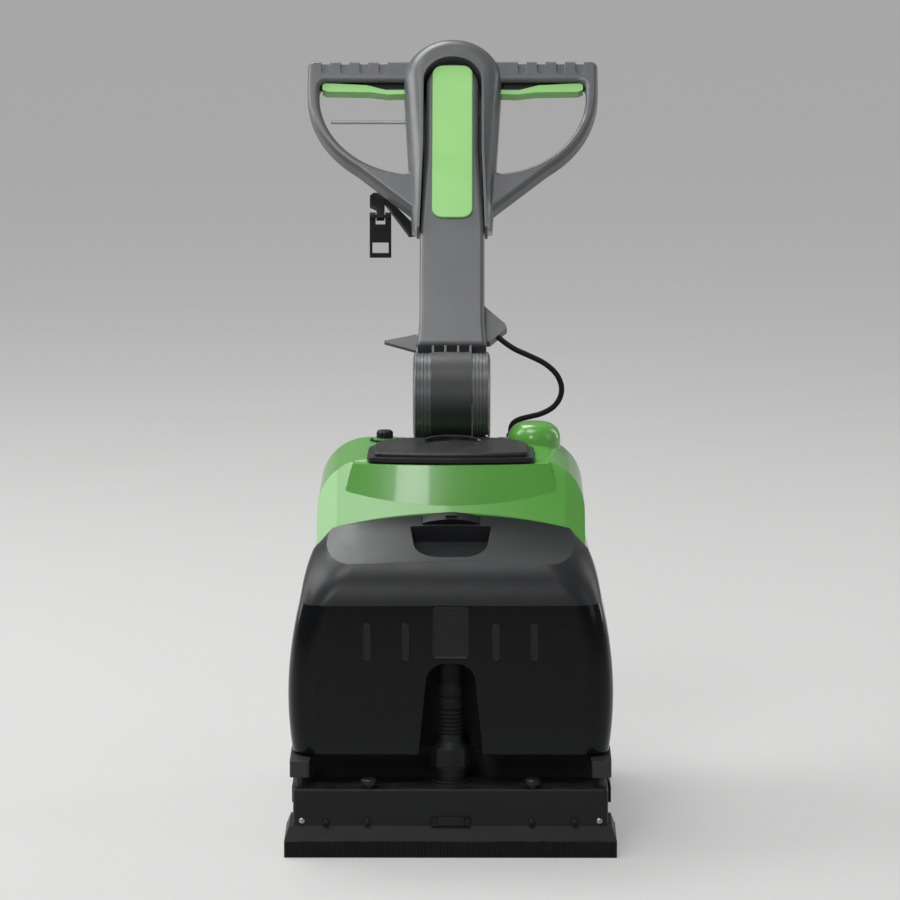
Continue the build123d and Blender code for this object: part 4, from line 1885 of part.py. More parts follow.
# Triggers under the grips, and the thin flow lever in the left loop
def trigger(side, name):
    """Finger trigger that pivots at the pod and ends under the outer end of the grip."""
    with BuildPart() as piece:
        with BuildSketch(handle_plane.offset(-TRIGGER_HALF_THICK)):
            with BuildLine():
                along, tail, top = TRIGGER_PIVOT_ALONG, TRIGGER_TAIL, LOOP_OPENING_TOP
                low = top - TRIGGER_DEPTH
                points = [
                    (TRIGGER_PIVOT_X, along + tail),
                    (TRIGGER_PIVOT_X + TRIGGER_NECK, along + tail / 2),
                    (TRIGGER_PIVOT_X + TRIGGER_PAD_TOP, top - tail),
                    (TRIGGER_END_X - TRIGGER_TIP_TOP, top),
                    (TRIGGER_END_X, top - tail),
                    (TRIGGER_END_X, low + tail),
                    (TRIGGER_END_X - TRIGGER_TIP_LOW, low),
                    (TRIGGER_PIVOT_X + TRIGGER_PAD_LOW, low - TRIGGER_PAD_DROP),
                    (TRIGGER_PIVOT_X + TRIGGER_NECK, along - tail - TRIGGER_PAD_DROP),
                    (TRIGGER_PIVOT_X, along - tail),
                ]
                Polyline(*[(side * x, y) for x, y in points], close=True)
            make_face()
            with Locations((side * TRIGGER_PIVOT_X, along)):
                Circle(TRIGGER_HUB)
                Circle(LEVER_PIN_RADIUS + RUN_FIT, mode=Mode.SUBTRACT)
        extrude(amount=2 * TRIGGER_HALF_THICK)
    save(piece, name)


trigger(-1, "left_trigger")
trigger(1, "right_trigger")

with BuildPart() as flow_lever:
    hub_low, hub_high = FLOW_ROD_PROUD - FLOW_HUB_HALF, FLOW_ROD_PROUD + FLOW_HUB_HALF
    handle_rod(FLOW_HUB, -FLOW_PIVOT_X, FLOW_ROD_ALONG, hub_low, hub_high)
    rod_plane = Plane(handle_plane.from_local_coords((-FLOW_PIVOT_X, FLOW_ROD_ALONG, FLOW_ROD_PROUD)))
    with BuildSketch(Plane(rod_plane.origin, x_dir=(0, 1, 0), z_dir=(-1, 0, 0))):
        Circle(FLOW_ROD_RADIUS)
    extrude(amount=FLOW_ROD_END_X - FLOW_PIVOT_X)
    handle_rod(LEVER_PIN_RADIUS + RUN_FIT, -FLOW_PIVOT_X, FLOW_ROD_ALONG, pin_low, pin_high, Mode.SUBTRACT)
save(flow_lever, "flow_lever")

# Lock lever on the left of the column, cable guard on its right
with BuildPart() as lock_lever:
    with BuildSketch(handle_plane.offset(-LOCK_HALF_THICK)):
        with BuildLine():
            root_x = -COLUMN_FOOT_HALF_WIDTH - SWING_GAP
            Polyline(
                (-LOCK_PIVOT_X, LOCK_ALONG + LOCK_HUB),
                (root_x, LOCK_ALONG + LOCK_HUB),
                (root_x, LOCK_ROOT_TOP),
                (-LOCK_TIP_X, LOCK_TIP_ALONG + LOCK_TIP_HEIGHT / 2),
                (-LOCK_TIP_X, LOCK_TIP_ALONG - LOCK_TIP_HEIGHT / 2),
                (root_x, LOCK_ROOT_LOW),
                (root_x, LOCK_ALONG - LOCK_HUB),
                (-LOCK_PIVOT_X, LOCK_ALONG - LOCK_HUB),
                close=True,
            )
        make_face()
        with Locations((-LOCK_PIVOT_X, LOCK_ALONG)):
            Circle(LOCK_HUB)
            Circle(LEVER_PIN_RADIUS + RUN_FIT, mode=Mode.SUBTRACT)
    extrude(amount=2 * LOCK_HALF_THICK)
save(lock_lever, "lock_lever")

GUARD_LOW = (COLUMN_FOOT_HALF_WIDTH + GUARD_LIP, GUARD_FOOT)
GUARD_TIP = (GUARD_TIP_X, GUARD_TIP_ALONG)
with BuildPart() as cable_guard:
    with BuildSketch(handle_plane.offset(GUARD_MIDDLE - GUARD_HALF_THICK)):
        with BuildLine():
            flare = (COLUMN_FOOT_HALF_WIDTH - COLUMN_HALF_WIDTH) / (COLUMN_NECK - COLUMN_FLARE)
            Polyline(
                (COLUMN_FOOT_HALF_WIDTH - flare * (GUARD_FOOT - COLUMN_FLARE), GUARD_FOOT),
                GUARD_LOW,
                GUARD_TIP,
                (GUARD_TIP_X - GUARD_TIP_SIZE[0], GUARD_TIP_ALONG + GUARD_TIP_SIZE[1]),
                (COLUMN_HALF_WIDTH, GUARD_TOP),
                (COLUMN_HALF_WIDTH, COLUMN_NECK),
                close=True,
            )
        make_face()
    extrude(amount=2 * GUARD_HALF_THICK)
save(cable_guard, "cable_guard")

# Cord hook behind the pod with a clip that hangs from its pin
HOOK_LEG_X = HOOK_REACH - CLIP_WIDTH / 2
HOOK_MIDDLE = -HEAD_BACK - HOOK_THICK / 2
with BuildPart() as cord_hook:
    leg_left = -HOOK_LEG_X - HOOK_LEG_WIDTH / 2
    leg_right = leg_left + HOOK_LEG_WIDTH
    with BuildSketch(handle_plane.offset(-HEAD_BACK - HOOK_THICK)):
        with BuildLine():
            low, high = HEAD_FOOT + HOOK_ARM_RISE[0], HEAD_FOOT + HOOK_ARM_RISE[1]
            Polyline(
                (-HOOK_ROOT_X, high + HOOK_ROOT_FLARE),
                (-HOOK_ROOT_X, low + HOOK_ROOT_CUT),
                (-HOOK_BEND_X, low + HOOK_BEND_RISE),
                (-HOOK_ELBOW_LOW_X, low),
                (leg_right, HOOK_TOP - HOOK_ARM_DROP),
                (leg_right, HOOK_PIN_ALONG - HOOK_THICK / 2),
                (leg_left, HOOK_PIN_ALONG - HOOK_THICK / 2),
                (leg_left, HOOK_PIN_ALONG + HOOK_LEG_STEP[0]),
                (-HOOK_REACH, HOOK_PIN_ALONG + HOOK_LEG_STEP[1]),
                (-HOOK_REACH, HOOK_TOP - HOOK_CORNER),
                (-HOOK_REACH + HOOK_CORNER, HOOK_TOP),
                (-HOOK_REACH + HOOK_TIP_WIDTH, HOOK_TOP),
                (-HOOK_ELBOW_HIGH_X, high - HOOK_ELBOW_DROP),
                (-HOOK_BEND_X, high + HOOK_ROOT_FLARE),
                close=True,
            )
        make_face()
    extrude(amount=HOOK_THICK)
    pin_place = handle_plane.from_local_coords((0, HOOK_PIN_ALONG, HOOK_MIDDLE))
    rod_x(HOOK_PIN_RADIUS, -HOOK_REACH, -HOOK_REACH + CLIP_WIDTH, pin_place.Y, pin_place.Z)
save(cord_hook, "cord_hook")

with BuildPart() as hook_clip:
    eye = HOOK_PIN_RADIUS + CLIP_EYE_WALL
    left, right = -HOOK_REACH, -HOOK_REACH + CLIP_WIDTH
    y0, y1 = pin_place.Y - CLIP_THICK / 2, pin_place.Y + CLIP_THICK / 2
    foot_z = pin_place.Z - CLIP_LENGTH
    block((left, y0, foot_z), (right, y1, pin_place.Z))
    rod_x(eye, left, right, pin_place.Y, pin_place.Z)
    block(
        (leg_left - SWING_GAP, y0 - eye, pin_place.Z - 2 * eye),
        (leg_right + SWING_GAP, y1 + eye, pin_place.Z + eye),
        Mode.SUBTRACT,
    )
    window_z = foot_z + CLIP_WINDOW_RISE + CLIP_WINDOW[1] / 2
    middle_x = (left + right) / 2
    block(
        (middle_x - CLIP_WINDOW[0] / 2, y0 - SWING_GAP, window_z - CLIP_WINDOW[1] / 2),
        (middle_x + CLIP_WINDOW[0] / 2, y1 + SWING_GAP, window_z + CLIP_WINDOW[1] / 2),
        Mode.SUBTRACT,
    )
    rod_x(HOOK_PIN_RADIUS + RUN_FIT, left, right, pin_place.Y, pin_place.Z, Mode.SUBTRACT)
save(hook_clip, "hook_clip")

# Control panel on the operator's side with two push buttons
with BuildPart() as control_panel:
    with BuildSketch(handle_plane.offset(-HEAD_BACK - PANEL_PLATE)):
        with Locations((0, (PANEL_FOOT_ALONG + PANEL_TOP_ALONG) / 2)):
            RectangleRounded(2 * PANEL_HALF_WIDTH, PANEL_LENGTH_ALONG, PANEL_PLATE_ROUND)
        for along in BUTTON_ALONG:
            with Locations((0, along)):
                Circle(BUTTON_RADIUS, mode=Mode.SUBTRACT)
    extrude(amount=PANEL_PLATE)
    plate_rim = control_panel.faces().sort_by(handle_normal)[0].outer_wire().edges()
    fillet(plate_rim, PANEL_PLATE_EDGE)
save(control_panel, "control_panel")

for name, along in zip(("power_button", "brush_button"), BUTTON_ALONG):
    with BuildPart() as button:
        button_face = -HEAD_BACK - PANEL_PLATE - BUTTON_PROUD
        handle_rod(BUTTON_RADIUS - RUN_FIT, 0, along, button_face, -HEAD_BACK + BUTTON_ROOT)
        fillet(button.edges().group_by(handle_normal)[0], BUTTON_EDGE)
    save(button, name)

# Gland on the rear cover, and the control cable that loops from the guard down to it
GLAND_Y = y_at(GLAND_BACK)
GLAND_TOP = LEDGE_Z + GLAND_HEIGHT
with BuildPart() as cable_gland:
    gland_root = CABLE_RADIUS + CABLE_HOLE_GAP - RUN_FIT
    turn_z(
        [
            (0, LEDGE_Z - WALL),
            (gland_root, LEDGE_Z - WALL),
            (gland_root, LEDGE_Z),
            (GLAND_FLANGE, LEDGE_Z),
            (GLAND_FLANGE, LEDGE_Z + WALL),
            (GLAND_RADIUS, LEDGE_Z + WALL),
            (CABLE_RADIUS + GLAND_NOSE_WALL, GLAND_TOP),
            (0, GLAND_TOP),
        ],
        GLAND_X,
        GLAND_Y,
    )
save(cable_gland, "cable_gland")

exit_x = (GUARD_LOW[0] + GUARD_TIP[0]) / 2
exit_along = (GUARD_LOW[1] + GUARD_TIP[1]) / 2
slant = sqrt((GUARD_TIP[0] - GUARD_LOW[0]) ** 2 + (GUARD_TIP[1] - GUARD_LOW[1]) ** 2)
lead_x = exit_x + CABLE_LEAD * (GUARD_TIP[1] - GUARD_LOW[1]) / slant
lead_along = exit_along - CABLE_LEAD * (GUARD_TIP[0] - GUARD_LOW[0]) / slant
cable_points = [
    handle_plane.from_local_coords(Vector(exit_x, exit_along, GUARD_MIDDLE)),
    handle_plane.from_local_coords(Vector(lead_x, lead_along, GUARD_MIDDLE)),
]
cable_points += [Vector(x, y_at(back), z) for x, back, z in CABLE_ROUTE]
cable_points += [Vector(GLAND_X, GLAND_Y, GLAND_TOP + CABLE_DROP), Vector(GLAND_X, GLAND_Y, GLAND_TOP)]
cable_bends = []
for before, corner, after in zip(cable_points, cable_points[1:], cable_points[2:]):
    turn = radians((corner - before).get_angle(after - corner))
    shorter = min((corner - before).length, (after - corner).length)
    cable_bends.append(CABLE_BEND_SHARE * shorter / tan(turn / 2))
with BuildPart() as control_cable:
    with BuildLine() as cable_path:
        FilletPolyline(*cable_points, radius=cable_bends)
    with BuildSketch(Plane(origin=cable_path.line @ 0, z_dir=cable_path.line % 0)):
        Circle(CABLE_RADIUS)
    sweep(path=cable_path.line)
save(control_cable, "control_cable")
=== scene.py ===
"""Looks of a compact walk-behind floor scrubber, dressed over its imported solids.

Each sub-assembly is a class. It holds its sizes in metres, gives its solids their
finishes and models the pieces that the solids leave to the looks.
"""

import logging
import math
from abc import ABC, abstractmethod
from dataclasses import dataclass, replace
from enum import Enum
from typing import Sequence

import bmesh
import bpy
from mathutils import Matrix, Vector
from mathutils.bvhtree import BVHTree


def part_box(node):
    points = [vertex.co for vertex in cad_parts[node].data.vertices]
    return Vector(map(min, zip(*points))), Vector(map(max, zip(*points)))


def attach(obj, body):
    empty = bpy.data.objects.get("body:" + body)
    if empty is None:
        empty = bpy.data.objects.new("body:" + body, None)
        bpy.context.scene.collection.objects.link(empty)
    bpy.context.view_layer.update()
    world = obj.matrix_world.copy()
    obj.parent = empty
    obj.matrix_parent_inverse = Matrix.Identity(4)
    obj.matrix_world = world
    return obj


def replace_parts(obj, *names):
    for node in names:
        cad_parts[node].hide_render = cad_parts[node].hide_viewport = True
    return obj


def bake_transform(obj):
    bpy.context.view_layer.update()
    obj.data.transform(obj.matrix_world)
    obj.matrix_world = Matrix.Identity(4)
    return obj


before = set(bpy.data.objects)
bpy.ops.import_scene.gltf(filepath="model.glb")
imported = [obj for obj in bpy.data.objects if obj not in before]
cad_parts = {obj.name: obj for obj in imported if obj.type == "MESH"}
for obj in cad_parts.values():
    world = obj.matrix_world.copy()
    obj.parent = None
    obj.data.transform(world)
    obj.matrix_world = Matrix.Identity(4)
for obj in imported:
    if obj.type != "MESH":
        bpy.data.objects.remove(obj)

LOG = logging.getLogger("floor_scrubber")
FULL_TURN = 2 * math.pi
SMOOTH_ANGLE = math.radians(35)
WHITE = (1.0, 1.0, 1.0, 1.0)
# Faces of a small moulding that are larger than this, in square metres, are shaded flat.
FLAT_AREA = 8e-6
# Points that are closer than this become one.
MERGE_DISTANCE = 1e-6
# A face looks along an axis where that part of its normal is more than this.
LOOKS_ALONG = 0.9
# Steps of the full turn of a small turned piece.
SMALL_TURN_STEPS = 24
# Lines that look for the surface of a solid start well clear of it, on these sides.
CLEAR_LEFT, CLEAR_FRONT, CLEAR_BACK, CLEAR_TOP = -0.3, -0.6, 0.5, 0.6

Colour = tuple[float, float, float, float]
Span = tuple[float, float]
Triple = tuple[float, float, float]
Socket = bpy.types.NodeSocket


def screen_colour(code: str) -> Colour:
    """Turn a screen colour into linear light.

    Args:
        code: Six hex digits, two for each of red, green and blue.

    Returns:
        Linear red, green and blue with full alpha.
    """
    channels = [int(code[i : i + 2], 16) / 255 for i in (0, 2, 4)]
    linear = [c / 12.92 if c <= 0.04045 else ((c + 0.055) / 1.055) ** 2.4 for c in channels]
    return (linear[0], linear[1], linear[2], 1.0)


class Axis(Enum):
    """Axes along which edges are picked, by their place in a point."""

    Y = 1
    Z = 2


class SocketKind(Enum):
    """Kinds of socket that an effect has."""

    VALUE = "NodeSocketFloat"
    NORMAL = "NodeSocketVector"


class NodeSheet:
    """Adds and joins the nodes of one shader tree."""

    # Places of a colour mix's factor and two colours among its inputs, and of its result.
    MIX_INPUTS = (0, 6, 7)
    MIX_RESULT = 2

    def __init__(self, tree: bpy.types.NodeTree) -> None:
        """Hold the tree that the nodes go into."""
        self.tree = tree

    def feed(self, socket: Socket, value: object) -> None:
        """Link an input to another socket, or set its plain value.

        Args:
            socket: The input.
            value: A socket to link, or the value to set.
        """
        if isinstance(value, Socket):
            self.tree.links.new(value, socket)
        else:
            socket.default_value = value

    def add(self, kind: str, settings: dict[str, object] | None = None, **inputs: object) -> bpy.types.Node:
        """Add one node.

        Args:
            kind: Node type, without its ShaderNode prefix.
            settings: Attributes of the node.
            **inputs: Values or sockets by input name, with _ for a space.

        Returns:
            The new node.
        """
        node = self.tree.nodes.new("ShaderNode" + kind)
        for name, value in (settings or {}).items():
            setattr(node, name, value)
        for name, value in inputs.items():
            self.feed(node.inputs[name.replace("_", " ")], value)
        return node

    def tint(self, factor: object, low: object, high: object) -> Socket:
        """Blend two colours.

        Args:
            factor: Share of the second colour.
            low: Colour at a factor of 0.
            high: Colour at a factor of 1.

        Returns:
            The blended colour.
        """
        node = self.add("Mix", {"data_type": "RGBA"})
        for index, value in zip(self.MIX_INPUTS, (factor, low, high)):
            self.feed(node.inputs[index], value)
        return node.outputs[self.MIX_RESULT]

    def maths(self, operation: str, first: object, second: object) -> Socket:
        """Join two values by a math operation.

        Args:
            operation: Name of the operation.
            first: Its first value or socket.
            second: Its second value or socket.

        Returns:
            The result.
        """
        node = self.add("Math", {"operation": operation})
        self.feed(node.inputs[0], first)
        self.feed(node.inputs[1], second)
        return node.outputs[0]

    def spread(self, value: object, span: Span, onto: Span = (0.0, 1.0)) -> Socket:
        """Stretch a value from one range to another, held at its ends.

        Args:
            value: The value or socket.
            span: The range that it comes in.
            onto: The range that it goes out in.

        Returns:
            The stretched value.
        """
        node = self.add("MapRange", {"clamp": True})
        for index, item in enumerate((value, *span, *onto)):
            self.feed(node.inputs[index], item)
        return node.outputs[0]

    def noise(self, place: Socket, scale: object, detail: float) -> Socket:
        """Cloudy noise over a place, from 0 to 1."""
        return self.add("TexNoise", None, Vector=place, Scale=scale, Detail=detail).outputs[0]

    def place(self) -> Socket:
        """Object coordinates, which are metres of the shared frame."""
        return self.add("TexCoord").outputs["Object"]

    def part_of(self, vector: Socket, axis: str) -> Socket:
        """One of the three parts of a vector."""
        return self.add("SeparateXYZ", None, Vector=vector).outputs[axis]


class Effect(Enum):
    """Surface effects that several finishes share."""

    EDGE_WEAR = "edge_wear"
    MOULD_GRAIN = "mould_grain"
    BRUSH_LINES = "brush_lines"
    HANDLING = "handling_marks"
    DUST = "settled_dust"


@dataclass(frozen=True)
class EffectShop:
    """Builds the shader group of each effect once, from these values."""

    wear_radius: float = 0.0008
    wear_breakup: float = 90.0
    wear_angles: Span = (0.985, 0.86)
    wear_patches: Span = (0.38, 0.62)
    grain_scale: float = 1400.0
    grain_cloud: float = 0.45
    grain_cells: float = 0.6
    line_scale: float = 900.0
    line_stretch: Triple = (0.03, 1.0, 1.0)
    cloud_span: Span = (0.3, 0.7)
    drift_scale: float = 14.0
    smear_scale: float = 3.2
    smear_turn: Triple = (0.3, 0.2, 0.5)
    smear_stretch: Triple = (1.0, 0.35, 2.2)
    smear_span: Span = (0.32, 0.68)
    dust_scale: float = 45.0
    dust_slopes: Span = (0.35, 0.95)
    dust_patches: Span = (0.35, 0.75)

    def group(self, effect: Effect) -> bpy.types.NodeTree:
        """Give the shader group of an effect, built on first use.

        Args:
            effect: The effect that is wanted.

        Returns:
            Its node group.
        """
        found = bpy.data.node_groups.get(effect.value)
        if found is not None:
            return found
        makers = {
            Effect.EDGE_WEAR: self.edge_wear,
            Effect.MOULD_GRAIN: self.mould_grain,
            Effect.BRUSH_LINES: self.brush_lines,
            Effect.HANDLING: self.handling,
            Effect.DUST: self.dust,
        }
        return makers[effect](effect.value)

    def blank(
        self, name: str, inputs: dict[str, float], outputs: dict[str, SocketKind]
    ) -> tuple[NodeSheet, dict[str, Socket], bpy.types.Node]:
        """Start a group with its sockets.

        Args:
            name: Name of the group.
            inputs: Input names with their usual values.
            outputs: Output names with their kinds.

        Returns:
            The node sheet, the input sockets by name and the output node.
        """
        tree = bpy.data.node_groups.new(name, "ShaderNodeTree")
        for label, value in inputs.items():
            socket = tree.interface.new_socket(label, in_out="INPUT", socket_type=SocketKind.VALUE.value)
            socket.default_value = value
        for label, kind in outputs.items():
            tree.interface.new_socket(label, in_out="OUTPUT", socket_type=kind.value)
        source = tree.nodes.new("NodeGroupInput")
        target = tree.nodes.new("NodeGroupOutput")
        return NodeSheet(tree), {label: source.outputs[label] for label in inputs}, target

    def edge_wear(self, name: str) -> bpy.types.NodeTree:
        """Rubbed edges: a mask along sharp edges, and a normal that softens them.

        Args:
            name: Name of the group.

        Returns:
            The node group.
        """
        sheet, given, out = self.blank(
            name,
            {"Radius": self.wear_radius, "Breakup": self.wear_breakup},
            {"Mask": SocketKind.VALUE, "Normal": SocketKind.NORMAL},
        )
        soft = sheet.add("Bevel", {"samples": 4}, Radius=given["Radius"]).outputs[0]
        face = sheet.add("NewGeometry").outputs["Normal"]
        agree = sheet.add("VectorMath", {"operation": "DOT_PRODUCT"})
        sheet.feed(agree.inputs[0], soft)
        sheet.feed(agree.inputs[1], face)
        edge = sheet.spread(agree.outputs["Value"], self.wear_angles)
        cloud = sheet.noise(sheet.place(), given["Breakup"], detail=4.0)
        patch = sheet.spread(cloud, self.wear_patches)
        sheet.feed(out.inputs["Mask"], sheet.maths("MULTIPLY", edge, patch))
        sheet.feed(out.inputs["Normal"], soft)
        return sheet.tree

    def mould_grain(self, name: str) -> bpy.types.NodeTree:
        """Fine grain of a moulded skin: a height and a speckle.

        Args:
            name: Name of the group.

        Returns:
            The node group.
        """
        sheet, given, out = self.blank(
            name, {"Scale": self.grain_scale}, {"Height": SocketKind.VALUE, "Speckle": SocketKind.VALUE}
        )
        place = sheet.place()
        cells = sheet.add("TexVoronoi", None, Vector=place, Scale=given["Scale"]).outputs["Distance"]
        cloud = sheet.noise(place, sheet.maths("MULTIPLY", given["Scale"], self.grain_cloud), detail=3.0)
        pits = sheet.maths("MULTIPLY", cells, self.grain_cells)
        sheet.feed(out.inputs["Height"], sheet.maths("ADD", pits, cloud))
        sheet.feed(out.inputs["Speckle"], sheet.spread(cloud, self.cloud_span))
        return sheet.tree

    def brush_lines(self, name: str) -> bpy.types.NodeTree:
        """Fine lines of turned or drawn metal, along X.

        Args:
            name: Name of the group.

        Returns:
            The node group.
        """
        sheet, given, out = self.blank(
            name, {"Scale": self.line_scale}, {"Height": SocketKind.VALUE, "Speckle": SocketKind.VALUE}
        )
        drawn = sheet.add("Mapping", None, Vector=sheet.place(), Scale=self.line_stretch).outputs[0]
        lines = sheet.noise(drawn, given["Scale"], detail=3.0)
        sheet.feed(out.inputs["Height"], lines)
        sheet.feed(out.inputs["Speckle"], sheet.spread(lines, self.cloud_span))
        return sheet.tree

    def handling(self, name: str) -> bpy.types.NodeTree:
        """Slow drift of shade, and smears where hands and cloths have been.

        Args:
            name: Name of the group.

        Returns:
            The node group.
        """
        sheet, given, out = self.blank(
            name, {"Scale": self.drift_scale}, {"Drift": SocketKind.VALUE, "Smear": SocketKind.VALUE}
        )
        place = sheet.place()
        drift = sheet.noise(place, given["Scale"], detail=3.0)
        wiped = sheet.add(
            "Mapping", None, Vector=place, Rotation=self.smear_turn, Scale=self.smear_stretch
        ).outputs[0]
        smear = sheet.noise(wiped, sheet.maths("MULTIPLY", given["Scale"], self.smear_scale), detail=6.0)
        sheet.feed(out.inputs["Drift"], sheet.spread(drift, self.cloud_span))
        sheet.feed(out.inputs["Smear"], sheet.spread(smear, self.smear_span))
        return sheet.tree

    def dust(self, name: str) -> bpy.types.NodeTree:
        """Thin dust on faces that look up.

        Args:
            name: Name of the group.

        Returns:
            The node group.
        """
        sheet, given, out = self.blank(name, {"Scale": self.dust_scale}, {"Mask": SocketKind.VALUE})
        up = sheet.part_of(sheet.add("NewGeometry").outputs["Normal"], "Z")
        level = sheet.spread(up, self.dust_slopes)
        cloud = sheet.noise(sheet.place(), given["Scale"], detail=5.0)
        patch = sheet.spread(cloud, self.dust_patches)
        sheet.feed(out.inputs["Mask"], sheet.maths("MULTIPLY", level, patch))
        return sheet.tree


EFFECTS = EffectShop()


class Skin(Enum):
    """How the skin of a piece was made."""

    MOULDED = Effect.MOULD_GRAIN
    METAL = Effect.BRUSH_LINES


@dataclass(frozen=True)
class Fade:
    """A slow change of colour along the height of a piece."""

    colour: str
    low_z: float
    high_z: float


@dataclass(frozen=True)
class ShadedHollow:
    """The inside of a recess, with painted shade: a darker colour where shade falls, on a rougher matte
    surface.
    """

    half_width: float
    front_y: float
    top_z: float
    colour: str
    roughness: float


@dataclass(frozen=True)
class Finish:
    """One finish of the machine, from its colours to its wear."""

    name: str
    slot: str
    colour: str
    drift: str
    roughness: Span
    skin: Skin = Skin.MOULDED
    grain: float = 1400.0
    relief: float = 0.00003
    metallic: float = 0.0
    coat: float = 0.0
    coat_roughness: float = 0.06
    specular: float = 0.5
    worn: str = "5c5d5e"
    wear: float = 0.35
    round_over: float = 0.0008
    dust: float = 0.06
    dust_colour: str = "9a978f"
    dust_dulls: float = 0.25
    fade: Fade | None = None
    # Painted shade inside a recess, if the piece has one.
    shaded_hollow: ShadedHollow | None = None

    def material(self) -> bpy.types.Material:
        """Give the material of this finish, built on first use."""
        found = bpy.data.materials.get(self.name)
        return found if found is not None else self._build()

    def _effect(self, sheet: NodeSheet, effect: Effect, **inputs: float) -> bpy.types.NodeOutputs:
        """Place the group of an effect with its own values.

        Args:
            sheet: The sheet of the material.
            effect: The effect.
            **inputs: Values by input name.

        Returns:
            The outputs of the group.
        """
        node = sheet.add("Group")
        node.node_tree = EFFECTS.group(effect)
        for label, value in inputs.items():
            node.inputs[label].default_value = value
        return node.outputs

    def _shaded_inside(self, sheet: NodeSheet, shaded_hollow: ShadedHollow) -> Socket:
        """Make a mask of the inside of a recess, where shade is painted.

        Args:
            sheet: The sheet of the material.
            shaded_hollow: The recess.

        Returns:
            A mask that is 1 inside it and 0 elsewhere.
        """
        place = sheet.add("SeparateXYZ", None, Vector=sheet.place()).outputs
        across = sheet.maths("LESS_THAN", sheet.maths("ABSOLUTE", place["X"], 0.0), shaded_hollow.half_width)
        behind = sheet.maths("GREATER_THAN", place["Y"], shaded_hollow.front_y)
        below = sheet.maths("LESS_THAN", place["Z"], shaded_hollow.top_z)
        return sheet.maths("MULTIPLY", across, sheet.maths("MULTIPLY", behind, below))

    def _build(self) -> bpy.types.Material:
        """Build the node tree: colour, roughness and relief.

        Returns:
            The new material.
        """
        material = bpy.data.materials.new(self.name)
        material.use_nodes = True
        sheet = NodeSheet(material.node_tree)
        shader = material.node_tree.nodes["Principled BSDF"]
        marks = self._effect(sheet, Effect.HANDLING)
        grain = self._effect(sheet, self.skin.value, Scale=self.grain)
        edges = self._effect(sheet, Effect.EDGE_WEAR, Radius=self.round_over)
        dust = self._effect(sheet, Effect.DUST)
        colour = sheet.tint(marks["Drift"], screen_colour(self.colour), screen_colour(self.drift))
        if self.fade is not None:
            height = sheet.part_of(sheet.place(), "Z")
            share = sheet.spread(height, (self.fade.low_z, self.fade.high_z))
            colour = sheet.tint(share, colour, screen_colour(self.fade.colour))
        rubbed = sheet.maths("MULTIPLY", edges["Mask"], self.wear)
        colour = sheet.tint(rubbed, colour, screen_colour(self.worn))
        settled = sheet.maths("MULTIPLY", dust["Mask"], self.dust)
        colour = sheet.tint(settled, colour, screen_colour(self.dust_colour))
        both = sheet.maths("ADD", marks["Smear"], grain["Speckle"])
        gloss = sheet.spread(both, (0.0, 2.0), self.roughness)
        dulled = sheet.maths("MULTIPLY", dust["Mask"], self.dust_dulls * self.dust)
        gloss = sheet.maths("ADD", gloss, dulled)
        # Painted shade: the inside of the recess takes a darker colour, and a rougher matte surface.
        if self.shaded_hollow is not None:
            inside = self._shaded_inside(sheet, self.shaded_hollow)
            colour = sheet.tint(inside, colour, screen_colour(self.shaded_hollow.colour))
            rough = sheet.maths("MULTIPLY", inside, self.shaded_hollow.roughness)
            gloss = sheet.maths("MAXIMUM", gloss, rough)
        relief = sheet.add(
            "Bump", None, Height=grain["Height"], Distance=self.relief, Normal=edges["Normal"]
        )
        sheet.feed(shader.inputs["Base Color"], colour)
        sheet.feed(shader.inputs["Roughness"], gloss)
        sheet.feed(shader.inputs["Normal"], relief.outputs[0])
        shader.inputs["Metallic"].default_value = self.metallic
        shader.inputs["Specular IOR Level"].default_value = self.specular
        shader.inputs["Coat Weight"].default_value = self.coat
        shader.inputs["Coat Roughness"].default_value = self.coat_roughness
        return material


BODY_GREEN = Finish(
    "body_green", "green_shell", "5fa845", "5ba342", (0.27, 0.3),
    grain=900, relief=0.000003, coat=0.35, worn="9fd48c", wear=0.25, dust=0.0,
)
ACCENT_GREEN = Finish(
    "accent_green", "light_green", "93cf7a", "8ac771", (0.34, 0.46),
    relief=0.000015, worn="c4f0b4", wear=0.2,
)
HANDLE_GREY = Finish(
    "handle_satin", "handle_grey", "58595b", "535456", (0.26, 0.38),
    worn="8d8f92", wear=0.3,
)
GRIP_GREY = Finish(
    "grip_grey", "handle_grey", "2e2f31", "292a2c", (0.4, 0.54),
    grain=1100, relief=0.00004, worn="6c6f72",
)
CHARCOAL = Finish(
    "charcoal_satin", "charcoal", "28292b", "242527", (0.3, 0.44),
    relief=0.000025, specular=0.32, worn="66686b", dust=0.0,
)
DARK_TRIM = Finish(
    "dark_trim", "charcoal", "17181a", "141517", (0.3, 0.44),
    specular=0.3, worn="56585a",
)
SMOKED_BLACK = Finish(
    "smoked_gloss", "smoked_black", "0b0c0f", "090a0c", (0.1, 0.2),
    grain=600, relief=0.000006, coat=0.05, specular=0.16, worn="34373a", wear=0.25, round_over=0.0014,
    dust=0.0, fade=Fade("121417", 0.135, 0.1),
)
BLACK_PLASTIC = Finish(
    "black_moulding", "black_plastic", "161718", "131415", (0.4, 0.54),
    relief=0.000035, specular=0.26, worn="4b4c4d", dust=0.05,
)
DECK_BLACK = Finish(
    "deck_black", "deck", "191a1b", "161717", (0.48, 0.62),
    grain=900, relief=0.00005, specular=0.3, worn="505152", dust=0.08,
)
POWDER_COAT = Finish(
    "powder_coat", "painted_frame", "1b1c1d", "18191a", (0.4, 0.54),
    grain=700, relief=0.00005, worn="8b8d8f", wear=0.5,
)
RUBBER = Finish(
    "black_rubber", "rubber", "131313", "101010", (0.62, 0.78),
    grain=1600, relief=0.00004, specular=0.22, worn="3c3c3c", wear=0.4, dust=0.08,
)
STEEL = Finish(
    "turned_steel", "steel", "b9bbbd", "a9abae", (0.24, 0.38),
    skin=Skin.METAL, relief=0.000008, metallic=1.0, worn="e2e3e4", wear=0.4, dust=0.05,
)
